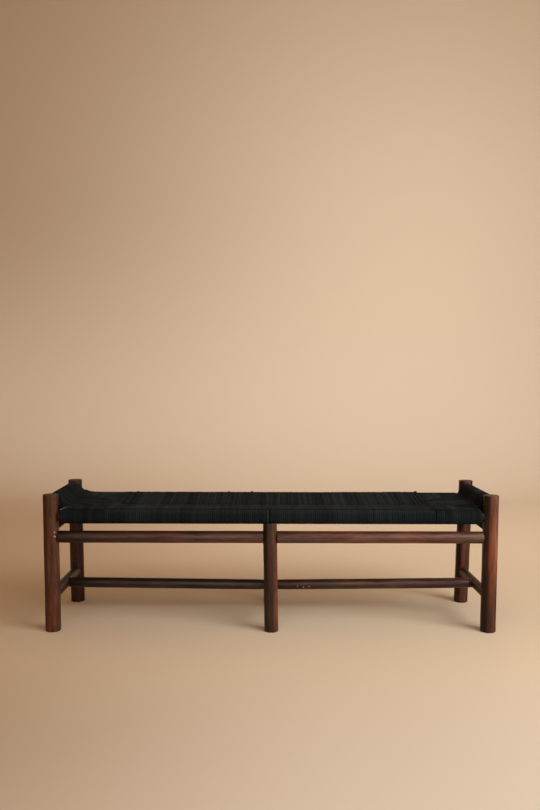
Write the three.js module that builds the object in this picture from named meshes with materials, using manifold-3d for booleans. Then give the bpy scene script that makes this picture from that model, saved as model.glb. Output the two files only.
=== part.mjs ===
// A long low charpai used as a bench: six octagonal legs, round rails and stretchers tenoned into them,
// and a seat of cord wound over the four seat rails.
// Millimetres, +Z up. X runs along the bench, Y runs from front to back, and the origin is on the floor
// under the middle of the bench.

import * as THREE from "three";
import { mergeVertices } from "three/addons/utils/BufferGeometryUtils.js";
import Module from "manifold-3d";

const wasm = await Module();
wasm.setup();

// Whole bench
const legSpacing = 1451; // along X, between the centres of the corner legs
const legDepthSpacing = 351; // along Y, between the centres of the corner legs
const clearance = 0.3; // left between pieces that touch
const overrun = 1; // how far one shape runs into the next before they are joined

// Legs: a regular octagon with softened arrises, its flats facing along X and Y
const cornerLegHeight = 456;
const cornerLegAcross = 49;
const middleLegAcross = 46.7;
const arrisRadius = 6;
const endRelief = 1.5; // chamfer round the foot and the top of a leg
const saddleDepth = 4; // how far a middle leg's top reaches up beside the wound rail that it carries
const arcSegments = 1;

// Each leg leans a little along X: how far its top and its foot stand from its place, as shares of the
// distance across its flats
const leanShares = {
  leg_front_left: { top: -0.063, foot: 0.043 },
  leg_front_middle: { top: -0.049, foot: 0.073 },
  leg_front_right: { top: 0.1, foot: 0.002 },
  leg_back_left: { top: -0.063, foot: 0.076 },
  leg_back_middle: { top: 0.02, foot: -0.03 },
  leg_back_right: { top: 0.084, foot: -0.2 },
};

// Seat rails
const seatRailDiameter = 37;
const endRailBelowLegTop = 33; // from a corner leg's top down to the end rail's centre line
const sideRailBelowEndRail = 38; // the two kinds of rail are staggered so that their tenons miss

// Stretchers and crossbars
const upperStretcherDiameter = 40.4;
const upperStretcherBelowRail = 70;
const upperCrossbarDiameter = 35;
const upperStagger = 30; // crossbars sit this far above the stretchers, but in the middle this far below
const lowerLeftCrossbarDiameter = 36.5; // hand-made, so the three differ in girth
const lowerMiddleCrossbarDiameter = 35.8;
const lowerRightCrossbarDiameter = 33.6;
const lowerCrossbarHeight = 116.5;
const lowerMiddleDrop = 7.8; // the middle crossbar is this much lower than the two at the ends
const lowerStretcherDiameter = 36;
const barSides = 24;

// Tenons
const legTenonDiameter = 22;
const cornerLegTenonDepth = 30; // from the leg's flat
const middleLegTenonDepth = 20; // less, because a middle leg takes one from each side
const crossTenonDiameter = 17;
const crossTenonDepth = 14; // from the crossbar's surface
const legTopTenonDiameter = 20;
const legTopTenonDepth = 16; // from the underside of the rail's wood
const tenonSides = 12;

// Wound seat
const cordDiameter = 6.5;
const bareSideRail = 11; // bare wood on a side rail between a corner leg and the first turn
const bareEndRail = 3; // the same on an end rail
const cordLayersAtSlit = 3; // top strands, strands inside and bottom strands
const tipSwell = 9; // how far the deck swells on each face where the end strands dive inside
const swellRun = 45; // how far the swelling takes to fade towards the middle of the bench
const kinkRise = 3.5; // height of the foot of the end strands' fall above the side rails' crest
const leftShoulderRun = 4; // from the left end rail's centre line to where its strands begin to fall
const leftKinkRun = 52; // from the same line to the foot of the fall
const rightShoulderRun = 20;
const rightKinkRun = 37;
const leaveRun = 3; // from a side rail's centre line to where the strands leave the winding
const wrapSides = 32;
const deckSteps = { fall: 6, end: 6, swell: 3, middle: 2, depth: 8 };

// Sizes that follow
const halfDepth = legDepthSpacing / 2;
const halfSpacing = legSpacing / 2;
const wrapRadius = seatRailDiameter / 2 + cordDiameter;
const endRailHeight = cornerLegHeight - endRailBelowLegTop;
const sideRailHeight = endRailHeight - sideRailBelowEndRail;
const upperStretcherHeight = sideRailHeight - upperStretcherBelowRail;
const upperEndCrossbarHeight = upperStretcherHeight + upperStagger;
const upperMiddleCrossbarHeight = upperStretcherHeight - upperStagger;
const lowerMiddleCrossbarHeight = lowerCrossbarHeight - lowerMiddleDrop;
const middleLegHeight = sideRailHeight - wrapRadius + saddleDepth;
const sideWrapStart = cornerLegAcross / 2 + bareSideRail;
const endWrapStart = cornerLegAcross / 2 + bareEndRail;
const slitHalfThickness = (cordLayersAtSlit * cordDiameter) / 2;

// Finishes
const wood = { color: 0x4a3028, roughness: 0.45, metalness: 0 };
const cord = { color: 0x16181a, roughness: 0.75, metalness: 0 };

const cornerLeg = { across: cornerLegAcross, height: cornerLegHeight, tenonDepth: cornerLegTenonDepth };
const middleLeg = { across: middleLegAcross, height: middleLegHeight, tenonDepth: middleLegTenonDepth };
const legs = {
  leg_front_left: { ...cornerLeg, x: -halfSpacing, y: -halfDepth },
  leg_front_middle: { ...middleLeg, x: 0, y: -halfDepth },
  leg_front_right: { ...cornerLeg, x: halfSpacing, y: -halfDepth },
  leg_back_left: { ...cornerLeg, x: -halfSpacing, y: halfDepth },
  leg_back_middle: { ...middleLeg, x: 0, y: halfDepth },
  leg_back_right: { ...cornerLeg, x: halfSpacing, y: halfDepth },
};

// Solids from three.js geometries, and back

function solidOf(geometry) {
  const bare = geometry.clone();
  for (const name of Object.keys(bare.attributes)) {
    if (name !== "position") bare.deleteAttribute(name);
  }
  const merged = mergeVertices(bare);
  const triVerts = Uint32Array.from(merged.index.array);
  const vertProperties = Float32Array.from(merged.attributes.position.array);
  return new wasm.Manifold(new wasm.Mesh({ numProp: 3, vertProperties, triVerts }));
}

function geometryOf(solid) {
  const { vertProperties, triVerts } = solid.getMesh();
  const geometry = new THREE.BufferGeometry();
  geometry.setAttribute("position", new THREE.BufferAttribute(vertProperties, 3));
  geometry.setIndex(new THREE.BufferAttribute(triVerts, 1));
  geometry.computeVertexNormals();
  return geometry;
}

// A round bar from one point to another
function roundBar(from, to, diameter, sides) {
  const along = to.clone().sub(from);
  const bar = new THREE.CylinderGeometry(diameter / 2, diameter / 2, along.length(), sides);
  const upright = new THREE.Vector3(0, 1, 0);
  bar.applyQuaternion(new THREE.Quaternion().setFromUnitVectors(upright, along.clone().normalize()));
  const middle = from.clone().add(to).divideScalar(2);
  bar.translate(middle.x, middle.y, middle.z);
  return solidOf(bar);
}

// The point that lies a distance from one point, on the way to another
function partWay(from, to, distance) {
  return to.clone().sub(from).setLength(distance).add(from);
}

// Legs

// Where a leg's centre line is at a height
function legPoint(name, height) {
  const leg = legs[name];
  const lean = leanShares[name];
  const share = THREE.MathUtils.lerp(lean.foot, lean.top, height / leg.height);
  return new THREE.Vector3(leg.x + share * leg.across, leg.y, height);
}

// An octagon with its corners rounded: the arcs' centres lie on a smaller octagon
function octagon(across) {
  const eighth = Math.PI / 4;
  const centreRadius = (across / 2 - arrisRadius) / Math.cos(eighth / 2);
  const shape = new THREE.Shape();
  for (let corner = 0; corner < 8; corner += 1) {
    const start = corner * eighth;
    const x = centreRadius * Math.cos(start + eighth / 2);
    const y = centreRadius * Math.sin(start + eighth / 2);
    shape.absarc(x, y, arrisRadius, start, start + eighth, false);
  }
  shape.closePath();
  return shape;
}

// A leg without its joints. Spare makes it stouter, so that what is cut by it keeps clear.
function legBlank(name, spare) {
  const { across, height } = legs[name];
  const blank = new THREE.ExtrudeGeometry(octagon(across + 2 * spare), {
    depth: height - 2 * endRelief,
    bevelThickness: endRelief,
    bevelSize: endRelief,
    bevelOffset: -endRelief,
    bevelSegments: 1,
    curveSegments: arcSegments,
  });
  blank.translate(0, 0, endRelief);
  const foot = legPoint(name, 0);
  const lean = (legPoint(name, height).x - foot.x) / height;
  blank.applyMatrix4(new THREE.Matrix4().makeShear(0, 0, 0, 0, lean, 0));
  blank.translate(foot.x, foot.y, 0);
  return solidOf(blank);
}

// Rails, stretchers and crossbars between two legs. Each ends in a tenon in the leg. Its shoulder is square
// to it but for the leg's lean, and butts against the leg's flat.

function tenonBetween(legName, start, end, spare) {
  const { across, tenonDepth } = legs[legName];
  const tip = partWay(start, end, across / 2 - tenonDepth - spare);
  const root = partWay(start, end, across / 2 + overrun);
  return roundBar(tip, root, legTenonDiameter + 2 * spare, tenonSides);
}

function barBetweenLegs(nameA, nameB, height, diameter) {
  const a = legPoint(nameA, height);
  const b = legPoint(nameB, height);
  const start = partWay(a, b, legs[nameA].across / 2 - overrun);
  const end = partWay(b, a, legs[nameB].across / 2 - overrun);
  return {
    a,
    b,
    piece: roundBar(start, end, diameter, barSides)
      .subtract(legBlank(nameA, clearance))
      .subtract(legBlank(nameB, clearance))
      .add(tenonBetween(nameA, a, b, 0))
      .add(tenonBetween(nameB, b, a, 0)),
    mortises: [
      [nameA, tenonBetween(nameA, a, b, clearance)],
      [nameB, tenonBetween(nameB, b, a, clearance)],
    ],
  };
}

// Lower stretchers between two crossbars, with the shoulder scribed to the round crossbar

function crossTenon(start, end, crossDiameter, spare) {
  const tip = partWay(start, end, crossDiameter / 2 - crossTenonDepth - spare);
  const root = partWay(start, end, crossDiameter / 2 + overrun);
  return roundBar(tip, root, crossTenonDiameter + 2 * spare, tenonSides);
}

function middleOf(bar) {
  return bar.a.clone().add(bar.b).divideScalar(2);
}

function lowerStretcher(fromBar, fromDiameter, toBar, toDiameter) {
  const a = middleOf(fromBar);
  const b = middleOf(toBar);
  return {
    a,
    b,
    piece: roundBar(a, b, lowerStretcherDiameter, barSides)
      .subtract(roundBar(fromBar.a, fromBar.b, fromDiameter + 2 * clearance, barSides))
      .subtract(roundBar(toBar.a, toBar.b, toDiameter + 2 * clearance, barSides))
      .add(crossTenon(a, b, fromDiameter, 0))
      .add(crossTenon(b, a, toDiameter, 0)),
    fromMortise: crossTenon(a, b, fromDiameter, clearance),
    toMortise: crossTenon(b, a, toDiameter, clearance),
  };
}

// Middle legs stand under the side rails: a saddle fits the wound rail, and a tenon goes up through the
// winding into the wood

function legTopTenon(legName, spare) {
  const top = sideRailHeight - seatRailDiameter / 2 + legTopTenonDepth + spare;
  const bottom = middleLegHeight - saddleDepth - overrun;
  const foot = legPoint(legName, bottom);
  return roundBar(foot, foot.clone().setZ(top), legTopTenonDiameter + 2 * spare, tenonSides);
}

function saddledLeg(legName, rail) {
  return legBlank(legName, 0)
    .subtract(winding(rail, sideWrapStart, clearance))
    .subtract(deck(rails.left, rails.right, clearance))
    .add(legTopTenon(legName, 0));
}

// The wound seat: a deck between the rails and a winding on each rail. Strands from a side rail run
// along Y to the slit on the centre line. Strands from an end rail run along X and dive inside where they
// meet those of the side rails, on a seam that runs from the corner to a tip on the centre line.

const tipRun = halfDepth + sideWrapStart - endWrapStart;

// How far in from an end rail the strand at a place across the bench dives inside
function seamRun(across) {
  return across + sideWrapStart - endWrapStart;
}

function swellAt(along) {
  return tipSwell * (1 - THREE.MathUtils.clamp((along - tipRun) / swellRun, 0, 1));
}

// Heights of the strands from a side rail: straight from the winding's crest or foot to the centre line
function sideTop(across, along) {
  const slit = sideRailHeight + slitHalfThickness + swellAt(along);
  return THREE.MathUtils.lerp(sideRailHeight + wrapRadius, slit, across / halfDepth);
}

function sideBottom(across, along) {
  const slit = sideRailHeight - slitHalfThickness - swellAt(along) / 2;
  return THREE.MathUtils.lerp(sideRailHeight - wrapRadius, slit, across / halfDepth);
}

// Heights of the strands from an end rail: over the crest, down half a wave, then straight to the seam
function endTop(across, along, end) {
  const seam = seamRun(across);
  const kinkRun = Math.min(end.kinkRun, seam);
  const seamHeight = sideTop(across, seam) + cordDiameter / 2;
  const kinkHeight = sideRailHeight + wrapRadius + kinkRise;
  if (along > kinkRun) {
    return THREE.MathUtils.mapLinear(along, kinkRun, seam, kinkHeight, seamHeight);
  }
  const shoulderRun = Math.min(end.shoulderRun, kinkRun / 2);
  const fall = THREE.MathUtils.clamp((along - shoulderRun) / (kinkRun - shoulderRun), 0, 1);
  const crest = endRailHeight + wrapRadius;
  return kinkHeight + ((crest - kinkHeight) * (1 + Math.cos(Math.PI * fall))) / 2;
}

function endBottom(across, along) {
  const seam = seamRun(across);
  const seamHeight = sideBottom(across, seam) + cordDiameter;
  return THREE.MathUtils.lerp(endRailHeight - wrapRadius, seamHeight, along / seam);
}

// Heights of the two faces. Over a rail's centre line they lie inside the winding, so that the deck grows
// out of it.
function deckHeights(across, along, end) {
  const sink = across > 0 && along > 0 ? 0 : cordDiameter / 2;
  const heights = along < seamRun(across)
    ? [endTop(across, along, end), endBottom(across, along)]
    : [sideTop(across, along), sideBottom(across, along)];
  return [heights[0] - sink, heights[1] + sink];
}

// Evenly spaced stations from one place to another, without the last
function stations(from, to, steps) {
  return Array.from({ length: steps }, (_, step) => THREE.MathUtils.lerp(from, to, step / steps));
}

// Distances in from an end rail at which the deck's faces are drawn, up to the middle of the bench
function runsFrom(end) {
  return [
    ...stations(0, end.kinkRun, deckSteps.fall),
    ...stations(end.kinkRun, tipRun, deckSteps.end),
    ...stations(tipRun, tipRun + swellRun, deckSteps.swell),
    ...stations(tipRun + swellRun, halfSpacing, deckSteps.middle),
  ];
}

// A closed slab between a grid of top points and a grid of bottom points
function slabGeometry(topRows, bottomRows) {
  const rows = topRows.length;
  const columns = topRows[0].length;
  const points = [...topRows.flat(), ...bottomRows.flat()];
  const index = (side, row, column) => side * rows * columns + row * columns + column;
  const triangles = [];
  const quad = (a, b, c, d) => triangles.push(a, b, c, a, c, d);
  for (let row = 0; row + 1 < rows; row += 1) {
    for (let column = 0; column + 1 < columns; column += 1) {
      const corners = [[0, 0], [0, 1], [1, 1], [1, 0]];
      quad(...corners.map(([r, c]) => index(0, row + r, column + c)));
      quad(...corners.reverse().map(([r, c]) => index(1, row + r, column + c)));
    }
  }
  const wall = (rowA, columnA, rowB, columnB) => quad(
    index(0, rowA, columnA), index(1, rowA, columnA), index(1, rowB, columnB), index(0, rowB, columnB),
  );
  for (let column = 0; column + 1 < columns; column += 1) {
    wall(0, column, 0, column + 1);
    wall(rows - 1, column + 1, rows - 1, column);
  }
  for (let row = 0; row + 1 < rows; row += 1) {
    wall(row + 1, 0, row, 0);
    wall(row, columns - 1, row + 1, columns - 1);
  }
  const geometry = new THREE.BufferGeometry().setFromPoints(points);
  geometry.setIndex(triangles);
  return geometry;
}

// The deck, or the same a little lower, to cut what keeps clear of its underside
function deck(leftRail, rightRail, drop) {
  const left = { kinkRun: leftKinkRun, shoulderRun: leftShoulderRun };
  const right = { kinkRun: rightKinkRun, shoulderRun: rightShoulderRun };
  const depthHalf = [0, ...stations(leaveRun, halfDepth, deckSteps.depth)];
  const depths = [...depthHalf, halfDepth, ...depthHalf.slice().reverse()];
  const topRows = [];
  const bottomRows = [];
  depths.forEach((across, row) => {
    const y = row < depthHalf.length ? across - halfDepth : halfDepth - across;
    const way = (y + halfDepth) / legDepthSpacing;
    const leftX = THREE.MathUtils.lerp(leftRail.a.x, leftRail.b.x, way);
    const rightX = THREE.MathUtils.lerp(rightRail.a.x, rightRail.b.x, way);
    const middleX = (leftX + rightX) / 2;
    const reach = (middleX - leftX) / halfSpacing;
    const places = [
      ...runsFrom(left).map((run) => [leftX + run * reach, deckHeights(across, run, left)]),
      [middleX, deckHeights(across, halfSpacing, left)],
      ...runsFrom(right).reverse().map((run) => [rightX - run * reach, deckHeights(across, run, right)]),
    ];
    topRows.push(places.map(([x, [top]]) => new THREE.Vector3(x, y, top)));
    bottomRows.push(places.map(([x, [, bottom]]) => new THREE.Vector3(x, y, bottom)));
  });
  return solidOf(slabGeometry(topRows, bottomRows).translate(0, 0, -drop));
}

// A corner of the deck that no strand crosses, beside a leg
function bareCorner(legName) {
  const leg = legPoint(legName, endRailHeight);
  const length = 2 * (sideWrapStart + overrun);
  const depth = 2 * (endWrapStart + overrun);
  const block = new THREE.BoxGeometry(length, depth, 2 * cornerLegHeight);
  block.translate(leg.x, leg.y, 0);
  return solidOf(block);
}

function winding(rail, start, spare) {
  const from = partWay(rail.a, rail.b, start);
  const to = partWay(rail.b, rail.a, start);
  return roundBar(from, to, 2 * wrapRadius + 2 * spare, wrapSides);
}

function wovenSeat(rails) {
  let seat = deck(rails.left, rails.right, 0);
  for (const name of ["leg_front_left", "leg_front_right", "leg_back_left", "leg_back_right"]) {
    seat = seat.subtract(bareCorner(name));
  }
  for (const rail of [rails.front, rails.back]) seat = seat.add(winding(rail, sideWrapStart, 0));
  for (const rail of [rails.left, rails.right]) seat = seat.add(winding(rail, endWrapStart, 0));
  for (const rail of Object.values(rails)) {
    seat = seat.subtract(roundBar(rail.a, rail.b, seatRailDiameter + 2 * clearance, barSides));
  }
  for (const name of ["leg_front_middle", "leg_back_middle"]) {
    seat = seat.subtract(legTopTenon(name, clearance));
  }
  return seat;
}

// The bench

const bench = new THREE.Group();

// Adds a piece whose shape is given in the bench's frame, with its own origin at a point of it
function addPiece(name, solid, origin, finish) {
  const geometry = geometryOf(solid);
  geometry.translate(-origin.x, -origin.y, -origin.z);
  const mesh = new THREE.Mesh(geometry, new THREE.MeshStandardMaterial(finish));
  mesh.name = name;
  mesh.position.copy(origin);
  bench.add(mesh);
}

const rails = {
  front: barBetweenLegs("leg_front_left", "leg_front_right", sideRailHeight, seatRailDiameter),
  back: barBetweenLegs("leg_back_left", "leg_back_right", sideRailHeight, seatRailDiameter),
  left: barBetweenLegs("leg_front_left", "leg_back_left", endRailHeight, seatRailDiameter),
  right: barBetweenLegs("leg_front_right", "leg_back_right", endRailHeight, seatRailDiameter),
};

const upperStretchers = {};
for (const side of ["front", "back"]) {
  for (const end of ["left", "right"]) {
    upperStretchers[`${side}_${end}`] = barBetweenLegs(
      `leg_${side}_${end}`, `leg_${side}_middle`, upperStretcherHeight, upperStretcherDiameter,
    );
  }
}

const upperCrossbars = {};
const lowerCrossbars = {};
const lowerCrossbarDiameters = {
  left: lowerLeftCrossbarDiameter,
  middle: lowerMiddleCrossbarDiameter,
  right: lowerRightCrossbarDiameter,
};
for (const place of ["left", "middle", "right"]) {
  const ends = [`leg_front_${place}`, `leg_back_${place}`];
  const inMiddle = place === "middle";
  const upperHeight = inMiddle ? upperMiddleCrossbarHeight : upperEndCrossbarHeight;
  const lowerHeight = inMiddle ? lowerMiddleCrossbarHeight : lowerCrossbarHeight;
  upperCrossbars[place] = barBetweenLegs(...ends, upperHeight, upperCrossbarDiameter);
  lowerCrossbars[place] = barBetweenLegs(...ends, lowerHeight, lowerCrossbarDiameters[place]);
}

const lowerStretchers = {};
for (const end of ["left", "right"]) {
  const stretcher = lowerStretcher(
    lowerCrossbars[end], lowerCrossbarDiameters[end], lowerCrossbars.middle, lowerCrossbarDiameters.middle,
  );
  lowerStretchers[end] = stretcher;
  lowerCrossbars[end].piece = lowerCrossbars[end].piece.subtract(stretcher.fromMortise);
  lowerCrossbars.middle.piece = lowerCrossbars.middle.piece.subtract(stretcher.toMortise);
}

for (const side of ["front", "back"]) {
  rails[side].piece = rails[side].piece.subtract(legTopTenon(`leg_${side}_middle`, clearance));
}

const legSolids = {};
for (const name of Object.keys(legs)) legSolids[name] = legBlank(name, 0);
legSolids.leg_front_middle = saddledLeg("leg_front_middle", rails.front);
legSolids.leg_back_middle = saddledLeg("leg_back_middle", rails.back);
const legBars = [rails, upperStretchers, upperCrossbars, lowerCrossbars].flatMap(Object.values);
for (const bar of legBars) {
  for (const [name, mortise] of bar.mortises) legSolids[name] = legSolids[name].subtract(mortise);
}

for (const name of Object.keys(legs)) addPiece(name, legSolids[name], legPoint(name, 0), wood);
for (const [place, bar] of Object.entries(rails)) addPiece(`seat_rail_${place}`, bar.piece, bar.a, wood);
for (const [place, bar] of Object.entries(upperStretchers)) {
  addPiece(`upper_stretcher_${place}`, bar.piece, bar.a, wood);
}
for (const [place, bar] of Object.entries(upperCrossbars)) {
  addPiece(`upper_crossbar_${place}`, bar.piece, bar.a, wood);
}
for (const [place, bar] of Object.entries(lowerCrossbars)) {
  addPiece(`lower_crossbar_${place}`, bar.piece, bar.a, wood);
}
for (const [place, bar] of Object.entries(lowerStretchers)) {
  addPiece(`lower_stretcher_${place}`, bar.piece, bar.a, wood);
}
addPiece("woven_seat", wovenSeat(rails), new THREE.Vector3(0, 0, sideRailHeight), cord);

// The legs' leans leave the bench a little off centre, so it is moved to stand over the origin
const box = new THREE.Box3().setFromObject(bench);
const middle = box.getCenter(new THREE.Vector3());
bench.position.set(-middle.x, -middle.y, -box.min.z);
bench.updateMatrixWorld(true);

export default bench;
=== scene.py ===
"""Dresses a long low charpai bench: six shaved octagonal legs, round rails and stretchers, and a seat of
black cord wound over the rails.

Lengths are in metres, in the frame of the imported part: X along the bench, Y from front to back, Z up.
"""

import logging
from dataclasses import dataclass, field
from enum import Enum
from typing import Any

import bpy
import numpy as np
from mathutils import Matrix, Vector


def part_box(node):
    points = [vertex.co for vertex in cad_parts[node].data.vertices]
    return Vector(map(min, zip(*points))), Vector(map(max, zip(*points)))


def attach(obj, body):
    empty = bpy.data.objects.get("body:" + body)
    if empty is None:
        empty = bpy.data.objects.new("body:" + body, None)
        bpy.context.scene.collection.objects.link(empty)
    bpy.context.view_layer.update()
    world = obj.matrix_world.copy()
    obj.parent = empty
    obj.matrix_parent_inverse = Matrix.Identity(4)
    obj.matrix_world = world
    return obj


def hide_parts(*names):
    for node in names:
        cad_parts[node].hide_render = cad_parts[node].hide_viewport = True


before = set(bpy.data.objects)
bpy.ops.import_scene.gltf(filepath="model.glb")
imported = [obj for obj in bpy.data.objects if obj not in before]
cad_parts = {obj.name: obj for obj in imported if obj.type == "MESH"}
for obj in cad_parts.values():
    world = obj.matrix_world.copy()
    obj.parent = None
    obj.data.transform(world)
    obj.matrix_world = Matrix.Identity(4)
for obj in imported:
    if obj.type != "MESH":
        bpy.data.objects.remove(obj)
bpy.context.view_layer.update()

Array = np.ndarray
Point = tuple[float, float, float]
Colour = tuple[float, float, float, float]
FULL_TURN = 2.0 * np.pi
EIGHTH = np.pi / 4.0

log = logging.getLogger("charpai")


class Slot(Enum):
    """The record's material slots."""

    WOOD = "wood"
    CORD = "cord"


class Side(Enum):
    """The two long sides of the bench, as the way out of the seat along Y."""

    FRONT = -1.0
    BACK = 1.0


class End(Enum):
    """The two ends of the bench, by name."""

    LEFT = "left"
    RIGHT = "right"


def lerp(start: Any, end: Any, share: Any) -> Any:
    """Goes a share of the way from one value to another: start + (end - start) * share."""
    return start + (end - start) * share


def bell(distance: Any, width: float) -> Array:
    """A bell curve of height 1: exp(-(distance / width) squared)."""
    return np.exp(-((distance / width) ** 2))


def stacked(*parts: Any) -> Array:
    """Points from their three parts, which are stretched to a common shape."""
    return np.stack(np.broadcast_arrays(*parts), axis=-1)


def shade_along(share: Array, shades: tuple[float, ...]) -> Array:
    """Evenly spaced shades read off at shares of the way, in straight lines between them."""
    return np.interp(share, np.linspace(0.0, 1.0, len(shades)), shades)


def drifting(rng: np.random.Generator, count: int, reach: float) -> Array:
    """Random values that drift from strand to strand.

    White noise is smoothed by a bell curve of the given reach, and scaled to a spread of 1.

    Args:
        rng: Source of the noise.
        count: How many values.
        reach: How many strands the bell curve reaches over.

    Returns:
        The values, as a column.
    """
    window = np.exp(-0.5 * (np.arange(-3 * reach, 3 * reach + 1) / reach) ** 2)
    white = rng.standard_normal(count + len(window) - 1)
    return np.convolve(white, window / np.sqrt((window**2).sum()), mode="valid")[:, None]


@dataclass(frozen=True)
class Waver:
    """Hand-made unevenness along a piece and round it.

    At a place its value is the mean of sin(2 pi * along / wavelength + turns * around + phase) over its
    waves, so it stays between -1 and 1 and closes round the piece.
    """

    seed: int
    wavelengths: tuple[float, ...] = (0.31, 0.19, 0.12, 0.075)
    turns: tuple[int, ...] = (1, 2, 3, 5)

    def at(self, along: Array, around: Array) -> Array:
        """Works out the unevenness.

        Args:
            along: Distances along the piece.
            around: Angles round it.

        Returns:
            Values from -1 to 1, in the two arrays' common shape.
        """
        phases = np.random.default_rng(self.seed).uniform(0.0, FULL_TURN, len(self.turns))
        waves = [
            np.sin(FULL_TURN * along / length + turns * around + phase)
            for length, turns, phase in zip(self.wavelengths, self.turns, phases)
        ]
        return sum(waves) / len(waves)


# Meshes


def put_in(name: str, data: bpy.types.ID) -> bpy.types.Object:
    """Makes an object and links it to the scene.

    Args:
        name: Its name.
        data: Its mesh, light or camera.

    Returns:
        The object.
    """
    made = bpy.data.objects.new(name, data)
    bpy.context.scene.collection.objects.link(made)
    return made


def smooth_mesh(name: str, points: Array, *faces: Array) -> bpy.types.Mesh:
    """Makes a mesh with smooth faces.

    Args:
        name: Its name.
        points: Its points, as (points, 3).
        faces: Indexes of the faces' corners, as (faces, corners).

    Returns:
        The mesh.
    """
    mesh = bpy.data.meshes.new(name)
    mesh.from_pydata(points.tolist(), [], sum((part.tolist() for part in faces), []))
    mesh.polygons.foreach_set("use_smooth", np.ones(len(mesh.polygons), bool))
    return mesh


@dataclass
class Skin:
    """A closed skin: rings of points joined one after another, with a fan over each end ring.

    Attributes:
        name: Name of the piece.
        rings: Points as (rings, sides, 3), the sides running anticlockwise seen from the last ring.
        marks: Named attributes of the points, as (rings, sides), or (rings, sides, 3) for places.
        turns: Turns of the cord's plies at each ring, for the cord's own map.
    """

    name: str
    rings: Array
    marks: dict[str, Array]
    turns: Array | None = None

    def faces(self) -> tuple[Array, Array]:
        """Works out the faces from the numbers of the points.

        Returns:
            Indexes of the quads between rings, and of the triangles of the two fans.
        """
        rings, sides = self.rings.shape[:2]
        ring = np.arange(rings - 1)[:, None] * sides
        here = np.arange(sides)
        after = (here + 1) % sides
        quads = np.stack([ring + here, ring + after, ring + sides + after, ring + sides + here], axis=-1)
        last, middle = (rings - 1) * sides, np.full(sides, rings * sides)
        fans = np.concatenate([
            np.stack([middle, after, here], axis=-1),
            np.stack([middle + 1, last + here, last + after], axis=-1),
        ])
        return quads.reshape(-1, 4), fans

    @staticmethod
    def with_middles(values: Array) -> Array:
        """Flattens values at (rings, sides) and adds the means of the first and the last ring."""
        ends = values[[0, -1]].mean(axis=1)
        return np.concatenate([values.reshape(-1, *values.shape[2:]), ends])

    def build(self) -> bpy.types.Object:
        """Makes the piece, with its attributes and its cord map.

        Returns:
            The piece.
        """
        mesh = smooth_mesh(self.name, self.with_middles(self.rings), *self.faces())
        for mark, values in self.marks.items():
            kind, key = ("FLOAT", "value") if values.ndim == 2 else ("FLOAT_VECTOR", "vector")
            layer = mesh.attributes.new(mark, kind, "POINT")
            layer.data.foreach_set(key, self.with_middles(values).astype(np.float32).ravel())
        if self.turns is not None:
            self.add_cord_map(mesh)
        mesh.update()
        return put_in(self.name, mesh)

    def add_cord_map(self, mesh: bpy.types.Mesh) -> None:
        """Adds the map that the plies follow: turns along the cord, and the share of the way round.

        Args:
            mesh: The skin's mesh, whose quads come before its fans.
        """
        rings, sides = self.rings.shape[:2]
        along = np.stack([self.turns[:-1], self.turns[:-1], self.turns[1:], self.turns[1:]], axis=-1)
        share = np.arange(sides) / sides
        around = np.stack([share, share + 1 / sides, share + 1 / sides, share], axis=-1)
        quads = np.empty((rings - 1, sides, 4, 2), np.float32)
        quads[..., 0], quads[..., 1] = along[:, None, :], around
        fans = np.zeros((2, sides, 3, 2), np.float32)
        fans[0, ..., 0], fans[1, ..., 0] = self.turns[0], self.turns[-1]
        layer = mesh.uv_layers.new(name="plies")
        layer.data.foreach_set("uv", np.concatenate([quads.ravel(), fans.ravel()]))


def hand_in(piece: bpy.types.Object, material: bpy.types.Material, slot: Slot, *nodes: str) -> None:
    """Gives a piece what it needs beside its mesh.

    Args:
        piece: The piece.
        material: Its material.
        slot: Not used.
        nodes: The CAD nodes that it stands for.
    """
    piece.data.materials.append(material)
    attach(piece, "root")
    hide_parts(*nodes)
    log.info("%s: %d faces, for %s", piece.name, len(piece.data.polygons), ", ".join(nodes))


# Shader trees


class Wire:
    """A number on its way through a shader: arithmetic on it adds Math nodes."""

    def __init__(self, tree: "ShaderTree", socket: bpy.types.NodeSocket) -> None:
        """Wraps an output socket of a tree."""
        self.tree = tree
        self.socket = socket

    def math(self, operation: str, *others: Any) -> "Wire":
        """Adds a Math node that starts from this number."""
        return self.tree.math(operation, self, *others)

    def __add__(self, other: Any) -> "Wire":
        """This plus the other."""
        return self.math("ADD", other)

    __radd__ = __add__

    def __sub__(self, other: Any) -> "Wire":
        """This less the other."""
        return self.math("SUBTRACT", other)

    def __rsub__(self, other: Any) -> "Wire":
        """The other less this."""
        return self.tree.math("SUBTRACT", other, self)

    def __mul__(self, other: Any) -> "Wire":
        """This times the other."""
        return self.math("MULTIPLY", other)

    __rmul__ = __mul__

    def __neg__(self) -> "Wire":
        """This with its sign turned round."""
        return self.math("MULTIPLY", -1.0)

    def __abs__(self) -> "Wire":
        """This without its sign."""
        return self.math("ABSOLUTE")

    def step(self, start: float, end: float) -> "Wire":
        """Goes smoothly from 0 at the start value to 1 at the end value."""
        span = {"Value": self, "From Min": start, "From Max": end}
        return self.tree.node("ShaderNodeMapRange", {"interpolation_type": "SMOOTHSTEP"}, span)


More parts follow.
